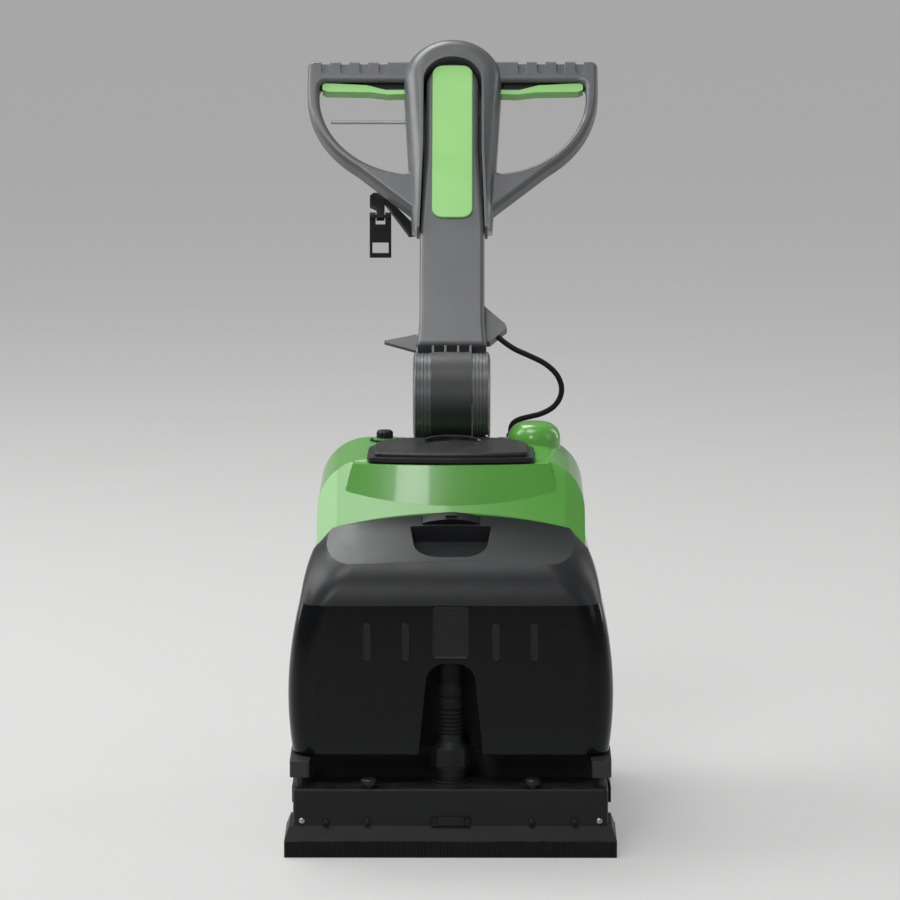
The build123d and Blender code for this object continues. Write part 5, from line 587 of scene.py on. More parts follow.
CAST_METAL = Finish(
    "cast_metal", "motor_metal", "a3a5a8", "95979a", (0.42, 0.58),
    grain=800, relief=0.00004, metallic=1.0, worn="d5d6d7", dust=0.1,
)
NYLON = Finish(
    "bristle_nylon", "bristle", "8a8d8e", "7b7e80", (0.4, 0.55),
    grain=900, relief=0.00001, worn="b5b7b8", wear=0.1, dust=0.1,
)


@dataclass(frozen=True)
class Seat:
    """A place on a solid: a point and the way its surface faces."""

    point: Vector
    normal: Vector

    def axes(self) -> Matrix:
        """Axes whose Z leaves the surface, at the point."""
        turn = self.normal.to_track_quat("Z", "Y").to_matrix().to_4x4()
        return Matrix.Translation(self.point) @ turn


def seat_on(node: str, start: Sequence[float], direction: Sequence[float]) -> Seat:
    """Find where a line from outside first meets a solid.

    Args:
        node: Name of the solid.
        start: A point outside it, in metres.
        direction: The way the line goes.

    Returns:
        The place that the line meets.
    """
    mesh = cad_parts[node].data
    points = [v.co.copy() for v in mesh.vertices]
    tree = BVHTree.FromPolygons(points, [tuple(p.vertices) for p in mesh.polygons])
    point, normal, _, _ = tree.ray_cast(Vector(start), Vector(direction).normalized())
    if point is None:
        raise ValueError(f"the line from {tuple(start)} misses {node}")
    return Seat(point, normal)


def lathe(outline: Sequence[Span], segments: int) -> bmesh.types.BMesh:
    """Turn a closed outline about Z.

    Args:
        outline: Points of radius and height.
        segments: Steps of the full turn.

    Returns:
        The turned mesh.
    """
    shape = bmesh.new()
    points = [shape.verts.new((radius, 0.0, height)) for radius, height in outline]
    edges = [shape.edges.new(pair) for pair in zip(points, points[1:] + points[:1])]
    bmesh.ops.spin(
        shape, geom=points + edges, cent=(0, 0, 0), axis=(0, 0, 1), angle=FULL_TURN, steps=segments,
        use_merge=True,
    )
    bmesh.ops.remove_doubles(shape, verts=shape.verts, dist=MERGE_DISTANCE)
    bmesh.ops.recalc_face_normals(shape, faces=shape.faces)
    return shape


def block(size: Triple) -> bmesh.types.BMesh:
    """Make a block about the origin.

    Args:
        size: Its length along X, Y and Z.

    Returns:
        The block.
    """
    shape = bmesh.new()
    bmesh.ops.create_cube(shape, size=1.0)
    bmesh.ops.scale(shape, vec=size, verts=shape.verts)
    return shape


def round_edges(
    shape: bmesh.types.BMesh, edges: Sequence[bmesh.types.BMEdge], size: float, steps: int
) -> None:
    """Round some edges of a mesh.

    Args:
        shape: The mesh.
        edges: Its edges to round.
        size: Width of the rounding.
        steps: Faces across the rounding.
    """
    bmesh.ops.bevel(
        shape, geom=list(edges), offset=size, offset_type="OFFSET", segments=steps, profile=0.5,
        affect="EDGES", clamp_overlap=True, material=-1,
    )


def sharp_edges(shape: bmesh.types.BMesh, degrees: float = 40.0) -> list[bmesh.types.BMEdge]:
    """The edges of a mesh where its faces turn by more than an angle."""
    limit = math.radians(degrees)
    return [e for e in shape.edges if len(e.link_faces) == 2 and e.calc_face_angle(0.0) > limit]


def edges_along(shape: bmesh.types.BMesh, axis: Axis, least: float) -> list[bmesh.types.BMEdge]:
    """The edges of a mesh that go further than a length along an axis."""
    part = axis.value
    return [e for e in shape.edges if abs(e.verts[0].co[part] - e.verts[1].co[part]) > least]


def add_object(name: str, data: bpy.types.ID) -> bpy.types.Object:
    """Add an object to the scene.

    Args:
        name: Its name.
        data: Its mesh, curve, lamp or camera.

    Returns:
        The new object.
    """
    item = bpy.data.objects.new(name, data)
    bpy.context.scene.collection.objects.link(item)
    return item


def make_piece(
    shape: bmesh.types.BMesh, name: str, finish: Finish, body: str, flat_above: float = math.inf
) -> bpy.types.Object:
    """Turn a mesh into a finished piece that rides on a body.

    Args:
        shape: The mesh in place, which is used up.
        name: Name of the piece.
        finish: Its finish.
        body: The body that carries it.
        flat_above: Faces of more square metres than this are shaded flat.

    Returns:
        The new object.
    """
    mesh = bpy.data.meshes.new(name)
    shape.to_mesh(mesh)
    shape.free()
    mesh.shade_smooth()
    mesh.set_sharp_from_angle(angle=SMOOTH_ANGLE)
    for polygon in mesh.polygons:
        polygon.use_smooth = polygon.area < flat_above
    mesh.materials.append(finish.material())
    piece = add_object(name, mesh)
    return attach(piece, body)


def add_copies(target: bmesh.types.BMesh, pattern: bmesh.types.BMesh, places: Sequence[Matrix]) -> None:
    """Add a pattern to a mesh at several places, and use the pattern up.

    Args:
        target: The mesh that gains the copies.
        pattern: The shape to copy.
        places: Where each copy goes.
    """
    mesh = bpy.data.meshes.new("pattern")
    pattern.to_mesh(mesh)
    pattern.free()
    for place in places:
        placed = mesh.copy()
        placed.transform(place)
        target.from_mesh(placed)
        bpy.data.meshes.remove(placed)
    bpy.data.meshes.remove(mesh)


class SubAssembly(ABC):
    """A group of pieces that is dressed and completed together."""

    @abstractmethod
    def finishes(self) -> dict[str, Finish]:
        """Choose the finishes of its solids, by name."""

    def build(self) -> list[bpy.types.Object]:
        """Model the pieces that its solids leave to the looks."""
        return []

    def dress(self) -> None:
        """Give its solids their finishes."""
        for node, finish in self.finishes().items():
            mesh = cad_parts[node].data
            mesh.materials.clear()
            mesh.materials.append(finish.material())


@dataclass(frozen=True)
class ScrewSet:
    """Cross-recess screws of one size."""

    radius: float = 0.0036
    height: float = 0.0018
    recess: float = 0.0012
    dome: float = 0.45
    cells: int = 7
    cross_reach: float = 2.5

    def head(self) -> bmesh.types.BMesh:
        """Model one domed head with its cross recess, on the plane Z = 0.

        Returns:
            The head.
        """
        shape = bmesh.new()
        bmesh.ops.create_grid(shape, x_segments=self.cells, y_segments=self.cells, size=1.0)
        step = 2.0 / self.cells
        cross = []
        for face in shape.faces:
            centre = face.calc_center_median()
            near, far = sorted((abs(centre.x), abs(centre.y)))
            if near < step / 2 and far < self.cross_reach * step:
                cross.append(face)
        pushed = bmesh.ops.extrude_face_region(shape, geom=cross)["geom"]
        bmesh.ops.delete(shape, geom=cross, context="FACES_ONLY")
        sunk = [v for v in pushed if isinstance(v, bmesh.types.BMVert)]
        rim = [e for e in shape.edges if e.is_boundary]
        skirt = bmesh.ops.extrude_edge_only(shape, edges=rim)["geom"]
        foot = [v for v in skirt if isinstance(v, bmesh.types.BMVert)]
        for vertex in shape.verts:
            x, y = vertex.co.x, vertex.co.y
            vertex.co.x = self.radius * x * math.sqrt(1 - y * y / 2)
            vertex.co.y = self.radius * y * math.sqrt(1 - x * x / 2)
            share = (vertex.co.x**2 + vertex.co.y**2) / self.radius**2
            vertex.co.z = self.height * (1 - self.dome * share)
        for vertex in sunk:
            vertex.co.z -= self.recess
        for vertex in foot:
            vertex.co.z = 0.0
        bmesh.ops.contextual_create(shape, geom=[e for e in shape.edges if e.is_boundary])
        bmesh.ops.recalc_face_normals(shape, faces=shape.faces)
        return shape

    def set_in(self, name: str, finish: Finish, body: str, seats: Sequence[Seat]) -> bpy.types.Object:
        """Set heads on some seats as one piece.

        Args:
            name: Name of the piece.
            finish: Its finish.
            body: The body that carries it.
            seats: Where each head sits.

        Returns:
            The new piece.
        """
        shape = bmesh.new()
        add_copies(shape, self.head(), [seat.axes() for seat in seats])
        return make_piece(shape, name, finish, body)


@dataclass(frozen=True)
class RimmedPlate:
    """A thin plate with round corners and a raised rim, whose front faces -Y."""

    width: float
    proud: float
    corner: float
    corner_steps: int
    rim: float
    wall: float
    pocket: float
    soft: float
    soft_steps: int
    sharp_above: float

    def model(self, length: float) -> bmesh.types.BMesh:
        """Model the plate, upright about the origin.

        Args:
            length: Its length along Z.

        Returns:
            The plate.
        """
        shape = block((self.width, 2 * self.proud, length))
        round_edges(shape, edges_along(shape, Axis.Y, self.proud), self.corner, self.corner_steps)
        front = min(shape.faces, key=lambda f: f.calc_center_median().y)
        bmesh.ops.inset_region(shape, faces=[front], thickness=self.rim, depth=0.0)
        bmesh.ops.inset_region(shape, faces=[front], thickness=self.wall, depth=-self.pocket)
        near_front = -0.9 * self.proud
        creases = sharp_edges(shape, self.sharp_above)
        rim = [e for e in creases if min(v.co.y for v in e.verts) < near_front]
        round_edges(shape, rim, self.soft, self.soft_steps)
        return shape


@dataclass
class Squeegees(SubAssembly):
    """Front and rear squeegee: channel, blade carrier, rubber lips and thumb knobs."""

    seat_clear: float = 0.1
    screws: ScrewSet = ScrewSet(radius=0.003)
    screw_x: float = 0.1545
    screw_z: float = 0.0362
    peg_places: tuple[float, ...] = (-0.1295, -0.0865, 0.084, 0.129)
    peg_radius: float = 0.0036
    peg_proud: float = 0.0036
    peg_sunk: float = 0.0005
    peg_height: float = 0.0352
    peg_dome: tuple[Span, ...] = ((1.0, 0.55), (0.86, 0.82), (0.5, 1.0), (0.0, 1.0))
    clip_half_width: float = 0.0205
    clip_tab_half_width: float = 0.0138
    clip_tall: float = 0.0086
    clip_proud: float = 0.0032
    clip_sunk: float = 0.0002
    clip_height: float = 0.0357
    clip_wall: float = 0.0009
    clip_pocket: float = 0.0024
    clip_soft: float = 0.0003
    clip_soft_steps: int = 2

    def finishes(self) -> dict[str, Finish]:
        """Choose the finishes of its solids.

        Returns:
            Each finish, by the name of its solid.
        """
        plan = {
            "squeegee_channel": BLACK_PLASTIC,
            "blade_carrier": BLACK_PLASTIC,
            "squeegee_blades": RUBBER,
            "squeegee_knobs": DARK_TRIM,
        }
        found = {f"{end}_{part}": finish for end in ("front", "rear") for part, finish in plan.items()}
        found["squeegee_hangers"] = POWDER_COAT
        return found

    def build(self) -> list[bpy.types.Object]:
        """Model the screws, pegs and middle clip along the foot of each channel.

        Returns:
            The new pieces.
        """
        pieces = []
        for end in ("front", "rear"):
            seats = [self.foot_seat(end, side * self.screw_x, self.screw_z) for side in (-1, 1)]
            pieces.append(self.screws.set_in(f"{end}_channel_screws", STEEL, f"{end}_squeegee", seats))
            pieces += [self.pegs(end), self.clip(end)]
        return pieces

    def foot_seat(self, end: str, x: float, height: float) -> Seat:
        """Find a place on the outer face of a channel.

        Args:
            end: Which squeegee, front or rear.
            x: Place across the machine.
            height: Place above the floor.

        Returns:
            The place, which faces away from the machine.
        """
        facing = -1 if end == "front" else 1
        low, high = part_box(f"{end}_squeegee_channel")
        start_y = (low if facing < 0 else high).y + self.seat_clear * facing
        return seat_on(f"{end}_squeegee_channel", (x, start_y, height), (0, -facing, 0))

    def pegs(self, end: str) -> bpy.types.Object:
        """Model the domed peg heads that hold the blade carrier to a channel.

        Args:
            end: Which squeegee, front or rear.

        Returns:
            The new piece.
        """
        outline = [(0.0, -self.peg_sunk), (self.peg_radius, -self.peg_sunk)]
        outline += [(out * self.peg_radius, up * self.peg_proud) for out, up in self.peg_dome]
        places = [self.foot_seat(end, x, self.peg_height).axes() for x in self.peg_places]
        shape = bmesh.new()
        add_copies(shape, lathe(outline, SMALL_TURN_STEPS), places)
        return make_piece(shape, f"{end}_channel_pegs", BLACK_PLASTIC, f"{end}_squeegee")

    def clip(self, end: str) -> bpy.types.Object:
        """Model the wide middle tab with a pocket at each side.

        Args:
            end: Which squeegee, front or rear.

        Returns:
            The new piece.
        """
        tab = self.clip_tab_half_width
        shape = block((2 * self.clip_half_width, self.clip_tall, self.clip_proud))
        for side in (-1, 1):
            everything = list(shape.verts) + list(shape.edges) + list(shape.faces)
            bmesh.ops.bisect_plane(shape, geom=everything, plane_co=(side * tab, 0, 0), plane_no=(1, 0, 0))
        tops = [f for f in shape.faces if f.normal.z > LOOKS_ALONG]
        outer = [f for f in tops if abs(f.calc_center_median().x) > tab]
        bmesh.ops.inset_individual(shape, faces=outer, thickness=self.clip_wall, depth=-self.clip_pocket)
        round_edges(shape, sharp_edges(shape), self.clip_soft, self.clip_soft_steps)
        seat = self.foot_seat(end, 0.0, self.clip_height)
        bmesh.ops.translate(shape, verts=shape.verts, vec=(0, 0, self.clip_proud / 2 - self.clip_sunk))
        bmesh.ops.transform(shape, matrix=seat.axes(), verts=shape.verts)
        return make_piece(shape, f"{end}_channel_clip", BLACK_PLASTIC, f"{end}_squeegee", FLAT_AREA)


@dataclass
class BrushDeck(SubAssembly):
    """Deck with the driven brush, its belt drive and covers."""

    core_radius: float = 0.022
    sleeve_gap: float = 0.00005
    sleeve_radius: float = 0.024
    sleeve_steps: int = 64
    brush_radius: float = 0.042
    half_length: float = 0.136
    end_margin: float = 0.006
    rows: int = 24
    tufts_around: int = 16
    row_twist: float = math.radians(7.5)
    tuft_radius: float = 0.0019
    tuft_sunk: float = 0.0006
    tuft_short: float = 0.0004
    filaments: int = 9
    filament_radius: float = 0.00042
    filament_taper: float = 0.6
    filament_turn: float = 2.4
    filament_uneven: float = 0.0011
    filament_splay: Span = (0.045, 0.03)
    # Places of the belt cover's screws are in insets from its lowest and highest corner.
    screw_inset: float = 0.014
    front_screws: tuple[Span, ...] = ((2.0, 1.0), (2.0, 5.0))
    back_screw: Span = (1.6, 1.4)

    def finishes(self) -> dict[str, Finish]:
        """Choose the finishes of its solids.

        Returns:
            Each finish, by the name of its solid.
        """
        return {
            "chassis": DECK_BLACK,
            "brush_shaft": STEEL,
            "brush_core": BLACK_PLASTIC,
            "brush_bristles": NYLON,
            "brush_bearings": STEEL,
            "brush_pulley": CAST_METAL,
            "motor_pulley": CAST_METAL,
            "drive_belt": RUBBER,
            "brush_motor": CAST_METAL,
            "belt_cover": DARK_TRIM,
            "brush_access_cover": DARK_TRIM,
            "spray_bar": BLACK_PLASTIC,
        }

    def build(self) -> list[bpy.types.Object]:
        """Model the bristles and the cover screws."""
        return [self.bristles(), self.cover_screws()]

    def tuft(self) -> bmesh.types.BMesh:
        """Model one tuft of thin filaments that stand along Z from the sleeve.

        Returns:
            The tuft.
        """
        shape = bmesh.new()
        root = self.sleeve_radius - self.tuft_sunk
        tip = math.sqrt(self.brush_radius**2 - (2 * self.tuft_radius) ** 2) - self.tuft_short
        least_splay, more_splay = self.filament_splay
        for index in range(self.filaments):
            turn = index * self.filament_turn
            reach = self.tuft_radius * math.sqrt(index / self.filaments)
            length = tip - root - self.filament_uneven * (index * 5 % 4) / 3
            before = set(shape.verts)
            bmesh.ops.create_cone(
                shape, cap_ends=True, segments=3, radius1=self.filament_radius,
                radius2=self.filament_taper * self.filament_radius, depth=length,
                matrix=Matrix.Translation((0, 0, root + length / 2)),
            )
            splay = least_splay + more_splay * (index * 3 % 5) / 4
            for vertex in set(shape.verts) - before:
                rise = vertex.co.z - root
                vertex.co.x += math.cos(turn) * (reach + splay * rise)
                vertex.co.y += math.sin(turn) * (reach + splay * rise)
        return shape

    def bristles(self) -> bpy.types.Object:
        """Model the bristle sleeve with its rows of tufts.

        Returns:
            The new piece.
        """
        low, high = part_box("brush_bristles")
        middle = (low + high) / 2
        inner = self.core_radius + self.sleeve_gap
        outline = [(inner, -self.half_length), (self.sleeve_radius, -self.half_length)]
        outline += [(self.sleeve_radius, self.half_length), (inner, self.half_length)]
        shape = lathe(outline, self.sleeve_steps)
        across = Matrix.Translation(middle) @ Matrix.Rotation(math.pi / 2, 4, "Y")
        bmesh.ops.transform(shape, matrix=across, verts=shape.verts)
        pitch = 2 * (self.half_length - self.end_margin) / (self.rows - 1)
        places = []
        for row in range(self.rows):
            x = middle.x - self.half_length + self.end_margin + row * pitch
            along = Matrix.Translation((x, middle.y, middle.z))
            for step in range(self.tufts_around):
                turn = step * FULL_TURN / self.tufts_around + row * self.row_twist
                places.append(along @ Matrix.Rotation(turn, 4, "X"))
        add_copies(shape, self.tuft(), places)
        piece = make_piece(shape, "brush_tufts", NYLON, "brush")
        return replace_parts(piece, "brush_bristles")

    def cover_screws(self) -> bpy.types.Object:
        """Model the screws at the corners of the belt cover.

        Returns:
            The new piece.
        """
        low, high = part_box("belt_cover")
        inset = self.screw_inset
        places = [(low.y + along * inset, low.z + up * inset) for along, up in self.front_screws]
        places.append((high.y - self.back_screw[0] * inset, high.z - self.back_screw[1] * inset))
        seats = [seat_on("belt_cover", (CLEAR_LEFT, y, z), (1, 0, 0)) for y, z in places]
        return ScrewSet().set_in("belt_cover_screws", STEEL, "chassis", seats)


@dataclass
class RollingGear(SubAssembly):
    """Transport wheels on their axle."""

    def finishes(self) -> dict[str, Finish]:
        """Choose the finishes of its solids.

        Returns:
            Each finish, by the name of its solid.
        """
        found = {"wheel_axle": STEEL}
        for side in ("left", "right"):
            found[f"{side}_wheel"] = GRIP_GREY
            found[f"{side}_tyre"] = RUBBER
        return found


@dataclass
class PowerUnit(SubAssembly):
    """Lower skirt, rear cover and the machinery behind them."""

    screws: ScrewSet = ScrewSet(radius=0.0042)
    screw_x: float = 0.116
    screw_heights: Span = (0.228, 0.3)

    def finishes(self) -> dict[str, Finish]:
        """Choose the finishes of its solids.

        Returns:
            Each finish, by the name of its solid.
        """
        return {
            "motor_housing": CHARCOAL,
            "rear_cover": CHARCOAL,
            "battery_pack": BLACK_PLASTIC,
            "vacuum_motor": CAST_METAL,
            "impeller": BLACK_PLASTIC,
            "water_pump": BLACK_PLASTIC,
            "rear_suction_pipe": BLACK_PLASTIC,
        }

    def build(self) -> list[bpy.types.Object]:
        """Model the screws of the rear cover.

        Returns:
            The new pieces.
        """
        places = [(side * self.screw_x, CLEAR_BACK, z) for side in (-1, 1) for z in self.screw_heights]
        seats = [seat_on("rear_cover", place, (0, -1, 0)) for place in places]
        return [self.screws.set_in("rear_cover_screws", STEEL, "chassis", seats)]


@dataclass
class RecoveryTank(SubAssembly):
    """Lift-off tank with its cover, latch, suction hose and bare badge plate."""

    plate: RimmedPlate = RimmedPlate(
        width=0.0372, proud=0.0018, corner=0.0032, corner_steps=5, rim=0.0016, wall=0.0005, pocket=0.0006,
        soft=0.0004, soft_steps=3, sharp_above=40.0,
    )
    plate_low: float = 0.2025
    plate_high: float = 0.2565
    plate_beside: float = 0.012
    mark: RimmedPlate = RimmedPlate(
        width=0.0076, proud=0.0011, corner=0.003192, corner_steps=6, rim=0.001, wall=0.0003, pocket=0.0003,
        soft=0.00025, soft_steps=2, sharp_above=30.0,
    )
    mark_places: tuple[float, ...] = (-0.087, -0.047, 0.047, 0.087)
    mark_height: float = 0.22
    mark_length: float = 0.0386
    arch_half_width: float = 0.036
    arch_top: float = 0.1985
    arch_setback: float = 0.0016
    # Painted shade: the inside of the arch is a darker black than the tank, with a matte roughness.
    arch_shade_colour: str = "060607"
    arch_roughness: float = 0.75
    hose_radius: float = 0.0135
    hose_valley: float = 0.0116
    hose_bore: float = 0.0095
    hose_low: float = 0.121
    hose_high: float = 0.178
    hose_steps: int = 56
    fine_ribs: int = 6
    fine_pitch: float = 0.0042
    fine_steps: int = 10
    fat_ribs: int = 2
    fat_steps: int = 18
    plain_end: float = 0.4
    rib_fullness: float = 1.25
    rib_power: float = 0.7

    def finishes(self) -> dict[str, Finish]:
        """Choose the finishes of its solids.

        Returns:
            Each finish, by the name of its solid.
        """
        beside_arch = (self.mark_places[2], CLEAR_FRONT, self.arch_top)
        # The inside of the arch gets painted shade: a darker black and a matte roughness.
        arch = ShadedHollow(
            half_width=self.arch_half_width,
            front_y=seat_on("recovery_tank", beside_arch, (0, 1, 0)).point.y + self.arch_setback,
            top_z=self.arch_top,
            colour=self.arch_shade_colour,
            roughness=self.arch_roughness,
        )
        return {
            "recovery_tank": replace(SMOKED_BLACK, name="smoked_tank", shaded_hollow=arch),
            "recovery_cover": CHARCOAL,
            "tank_latch": DARK_TRIM,
            "suction_hose": RUBBER,
            "hose_cuff": BLACK_PLASTIC,
        }

    def build(self) -> list[bpy.types.Object]:
        """Model the hose, the badge plate and the frames of the moulded marks."""
        return [self.hose(), self.badge_plate(), self.marks()]

    def hose(self) -> bpy.types.Object:
        """Model the hose: fine rounded ribs below, two fat ones above, open all the way.

        Returns:
            The new piece.
        """
        fine_top = self.hose_low + self.fine_ribs * self.fine_pitch
        fat_pitch = (self.hose_high - fine_top) / (self.fat_ribs + self.plain_end)
        fat_top = fine_top + self.fat_ribs * fat_pitch
        rise = self.hose_radius - self.hose_valley
        runs = (
            (self.fine_ribs, self.fine_pitch, self.hose_low, self.fine_steps),
            (self.fat_ribs, fat_pitch, fine_top, self.fat_steps),
        )
        outline = [(self.hose_bore, self.hose_low)]
        for count, pitch, start, steps in runs:
            for rib in range(count):
                for step in range(steps):
                    share = step / steps
                    lift = min(1.0, self.rib_fullness * math.sin(math.pi * share) ** self.rib_power)
                    outline.append((self.hose_valley + rise * lift, start + (rib + share) * pitch))
        outline += [(self.hose_valley, fat_top), (self.hose_valley, self.hose_high)]
        outline.append((self.hose_bore, self.hose_high))
        shape = lathe(outline, self.hose_steps)
        low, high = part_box("suction_hose")
        middle = (low + high) / 2
        bmesh.ops.translate(shape, verts=shape.verts, vec=(middle.x, middle.y, 0))
        piece = make_piece(shape, "ribbed_suction_hose", RUBBER, "recovery_tank")
        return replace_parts(piece, "suction_hose")

    def on_face(self, x: float, beside: float, low: float, high: float) -> tuple[Matrix, float]:
        """Find the place of a piece that lies along the sloping face of the tank.

        Args:
            x: Middle of the piece across the machine, in metres.
            beside: How far to the side of it the face is measured.
            low: Height of its lower end.
            high: Height of its upper end.

        Returns:
            The place, with Z up along the face and -Y out of it, and the length along the face.
        """
        foot = seat_on("recovery_tank", (x + beside, CLEAR_FRONT, low), (0, 1, 0)).point
        top = seat_on("recovery_tank", (x + beside, CLEAR_FRONT, high), (0, 1, 0)).point
        lean = math.atan2(top.y - foot.y, top.z - foot.z)
        middle = (foot + top) / 2
        place = Matrix.Translation((x, middle.y, middle.z)) @ Matrix.Rotation(-lean, 4, "X")
        return place, (top - foot).length

    def marks(self) -> bpy.types.Object:
        """Model thin raised frames over the four marks on the face of the tank.

        Returns:
            The new piece.
        """
        half = self.mark_length / 2
        low, high = self.mark_height - half, self.mark_height + half
        places = [self.on_face(x, self.mark.width, low, high)[0] for x in self.mark_places]
        shape = bmesh.new()
        add_copies(shape, self.mark.model(self.mark_length), places)
        return make_piece(shape, "tank_mark_frames", DARK_TRIM, "recovery_tank", FLAT_AREA)

    def badge_plate(self) -> bpy.types.Object:
        """Model a bare plate with a raised rim, flat on the face of the tank.

        Returns:
            The new piece.
        """
        place, length = self.on_face(0.0, self.plate_beside, self.plate_low, self.plate_high)
        shape = self.plate.model(length)
        bmesh.ops.transform(shape, matrix=place, verts=shape.verts)
        return make_piece(shape, "badge_plate", DARK_TRIM, "recovery_tank", FLAT_AREA)


@dataclass
class SolutionTank(SubAssembly):
    """Green clean-water tank with its filler lid and vent cap."""

    stud: ScrewSet = ScrewSet(radius=0.003, height=0.0016)
    stud_x: float = 0.0285
    stud_y: float = -0.0927
    pin_x: float = 0.038
    pin_y: float = -0.0526
    pin_radius: float = 0.0016
    pin_height: float = 0.009
    pin_sunk: float = 0.002
    pin_chamfer: float = 0.0008
    pin_tip: float = 0.6
    strap_radius: float = 0.0129
    strap_ring: float = 0.003
    strap_steps: int = 48
    strap_reach: float = 0.028
    strap_turn: float = -math.pi / 4
    strap_width: float = 0.007
    strap_thick: float = 0.0016
    strap_round: float = 0.45
    strap_round_steps: int = 6
    tail_middle: float = 0.46
    tail_rest: float = 0.01

    def finishes(self) -> dict[str, Finish]:
        """Choose the finishes of its solids.

        Returns:
            Each finish, by the name of its solid.
        """
        return {
            "solution_tank": BODY_GREEN,
            "tank_lid": DARK_TRIM,
            "lid_gasket": RUBBER,
            "vent_cap": BLACK_PLASTIC,
        }

    def build(self) -> list[bpy.types.Object]:
        """Model the stud on the lid, the pin behind it and the strap of the vent cap.

        Returns:
            The new pieces.
        """
        seat = seat_on("tank_lid", (self.stud_x, self.stud_y, CLEAR_TOP), (0, 0, -1))
        stud = self.stud.set_in("lid_stud", STEEL, "tank_lid", [seat])
        return [stud, self.level_pin(), self.cap_strap()]

    def level_pin(self) -> bpy.types.Object:
        """Model the thin bright pin that stands behind the lid.

        Returns:
            The new piece.
        """
        radius, top = self.pin_radius, self.pin_height
        outline = [(0.0, -self.pin_sunk), (radius, -self.pin_sunk), (radius, top - self.pin_chamfer)]
        outline += [(self.pin_tip * radius, top), (0.0, top)]
        shape = lathe(outline, SMALL_TURN_STEPS)
        seat = seat_on("solution_tank", (self.pin_x, self.pin_y, CLEAR_TOP), (0, 0, -1))
        bmesh.ops.translate(shape, verts=shape.verts, vec=seat.point)
        return make_piece(shape, "level_pin", STEEL, "chassis")

    def cap_strap(self) -> bpy.types.Object:
        """Model the strap round the cap's boss, with a round tail that lies on the tank.

        Returns:
            The new piece.
        """
        low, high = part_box("vent_cap")
        middle = (low + high) / 2
        inner, thick = self.strap_radius, self.strap_thick
        outer = inner + self.strap_ring
        shape = lathe([(inner, 0.0), (outer, 0.0), (outer, thick), (inner, thick)], self.strap_steps)
        tail = block((self.strap_reach, self.strap_width, thick))
        end = [e for e in edges_along(tail, Axis.Z, 0.5 * thick) if e.verts[0].co.x > 0]
        round_edges(tail, end, self.strap_round * self.strap_width, self.strap_round_steps)
        turn = Matrix.Rotation(self.strap_turn, 4, "Z")
        place = Vector((outer + self.tail_middle * self.strap_reach, 0, thick / 2))
        add_copies(shape, tail, [turn @ Matrix.Translation(place)])
        rest = turn @ Vector((outer + self.tail_rest, 0, 0))
        seat = seat_on("solution_tank", (middle.x + rest.x, middle.y + rest.y, CLEAR_TOP), (0, 0, -1))
        bmesh.ops.translate(shape, verts=shape.verts, vec=(middle.x, middle.y, seat.point.z))
        return make_piece(shape, "vent_cap_strap", RUBBER, "chassis")


@dataclass
class Handle(SubAssembly):
    """Hinged handle with its grip head, levers, hook, panel and control cable."""

    cable_radius: float = 0.003
    cable_route: tuple[Triple, ...] = (
        (0.064, 0.03741, 0.387),
        (0.064, 0.03741, 0.396),
        (0.0715, 0.03821, 0.402),
        (0.084, 0.03941, 0.405),
        (0.099, 0.04141, 0.408),
        (0.114, 0.04241, 0.417),
        (0.121, 0.04341, 0.433),
        (0.116, 0.04441, 0.45),
        (0.102, 0.04541, 0.463),
        (0.084, 0.04841, 0.471),
        (0.06322, 0.05241, 0.47957),
        (0.0507, 0.06107, 0.48918),
    )
    cable_length: float = 0.1769
    cable_steps: int = 10
    cable_order: int = 3
    cable_roundness: int = 6

    def finishes(self) -> dict[str, Finish]:
        """Choose the finishes of its solids.

        Returns:
            Each finish, by the name of its solid.
        """
        return {
            "handle_post": GRIP_GREY,
            "hinge_pin": STEEL,
            "hinge_caps": HANDLE_GREY,
            "handle_column": HANDLE_GREY,
            "handle_head": HANDLE_GREY,
            "insert_panel": ACCENT_GREEN,
            "left_trigger": ACCENT_GREEN,
            "right_trigger": ACCENT_GREEN,
            "flow_lever": CAST_METAL,
            "lock_lever": HANDLE_GREY,
            "cable_guard": HANDLE_GREY,
            "cord_hook": BLACK_PLASTIC,
            "hook_clip": BLACK_PLASTIC,
            "control_panel": DARK_TRIM,
            "power_button": ACCENT_GREEN,
            "brush_button": HANDLE_GREY,
            "cable_gland": BLACK_PLASTIC,
            "control_cable": RUBBER,
        }

    def build(self) -> list[bpy.types.Object]:
        """Model the control cable."""
        return [self.cable()]

    def cable(self) -> bpy.types.Object:
        """Model the control cable from the gland on the rear cover to the guard on the column.

        Returns:
            The new piece.
        """
        line = bpy.data.curves.new("cable_line", "CURVE")
        line.dimensions = "3D"
        line.resolution_u = self.cable_steps
        spline = line.splines.new("NURBS")
        spline.points.add(len(self.cable_route) - 1)
        for point, place in zip(spline.points, self.cable_route):
            point.co = (*place, 1.0)
        spline.order_u = self.cable_order
        spline.use_endpoint_u = True
        carrier = add_object("cable_line", line)
        bare = bpy.data.meshes.new_from_object(carrier)
        line.bevel_depth = self.cable_radius
        line.bevel_resolution = self.cable_roundness
        bpy.context.view_layer.update()
        tube = bpy.data.meshes.new_from_object(carrier.evaluated_get(bpy.context.evaluated_depsgraph_get()))
        bpy.data.objects.remove(carrier)
        bpy.data.meshes.remove(bare)
        tube.name = "control_cable_jacket"
        tube.materials.clear()
        tube.materials.append(RUBBER.material())
        tube.shade_smooth()
        piece = add_object("control_cable_jacket", tube)
        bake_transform(piece)
        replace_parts(piece, "control_cable")
        return piece


@dataclass(frozen=True)
class Lamp:
    """One soft box of the studio."""

    name: str
    place: Triple
    aim: Triple
    size: Span
    power: float


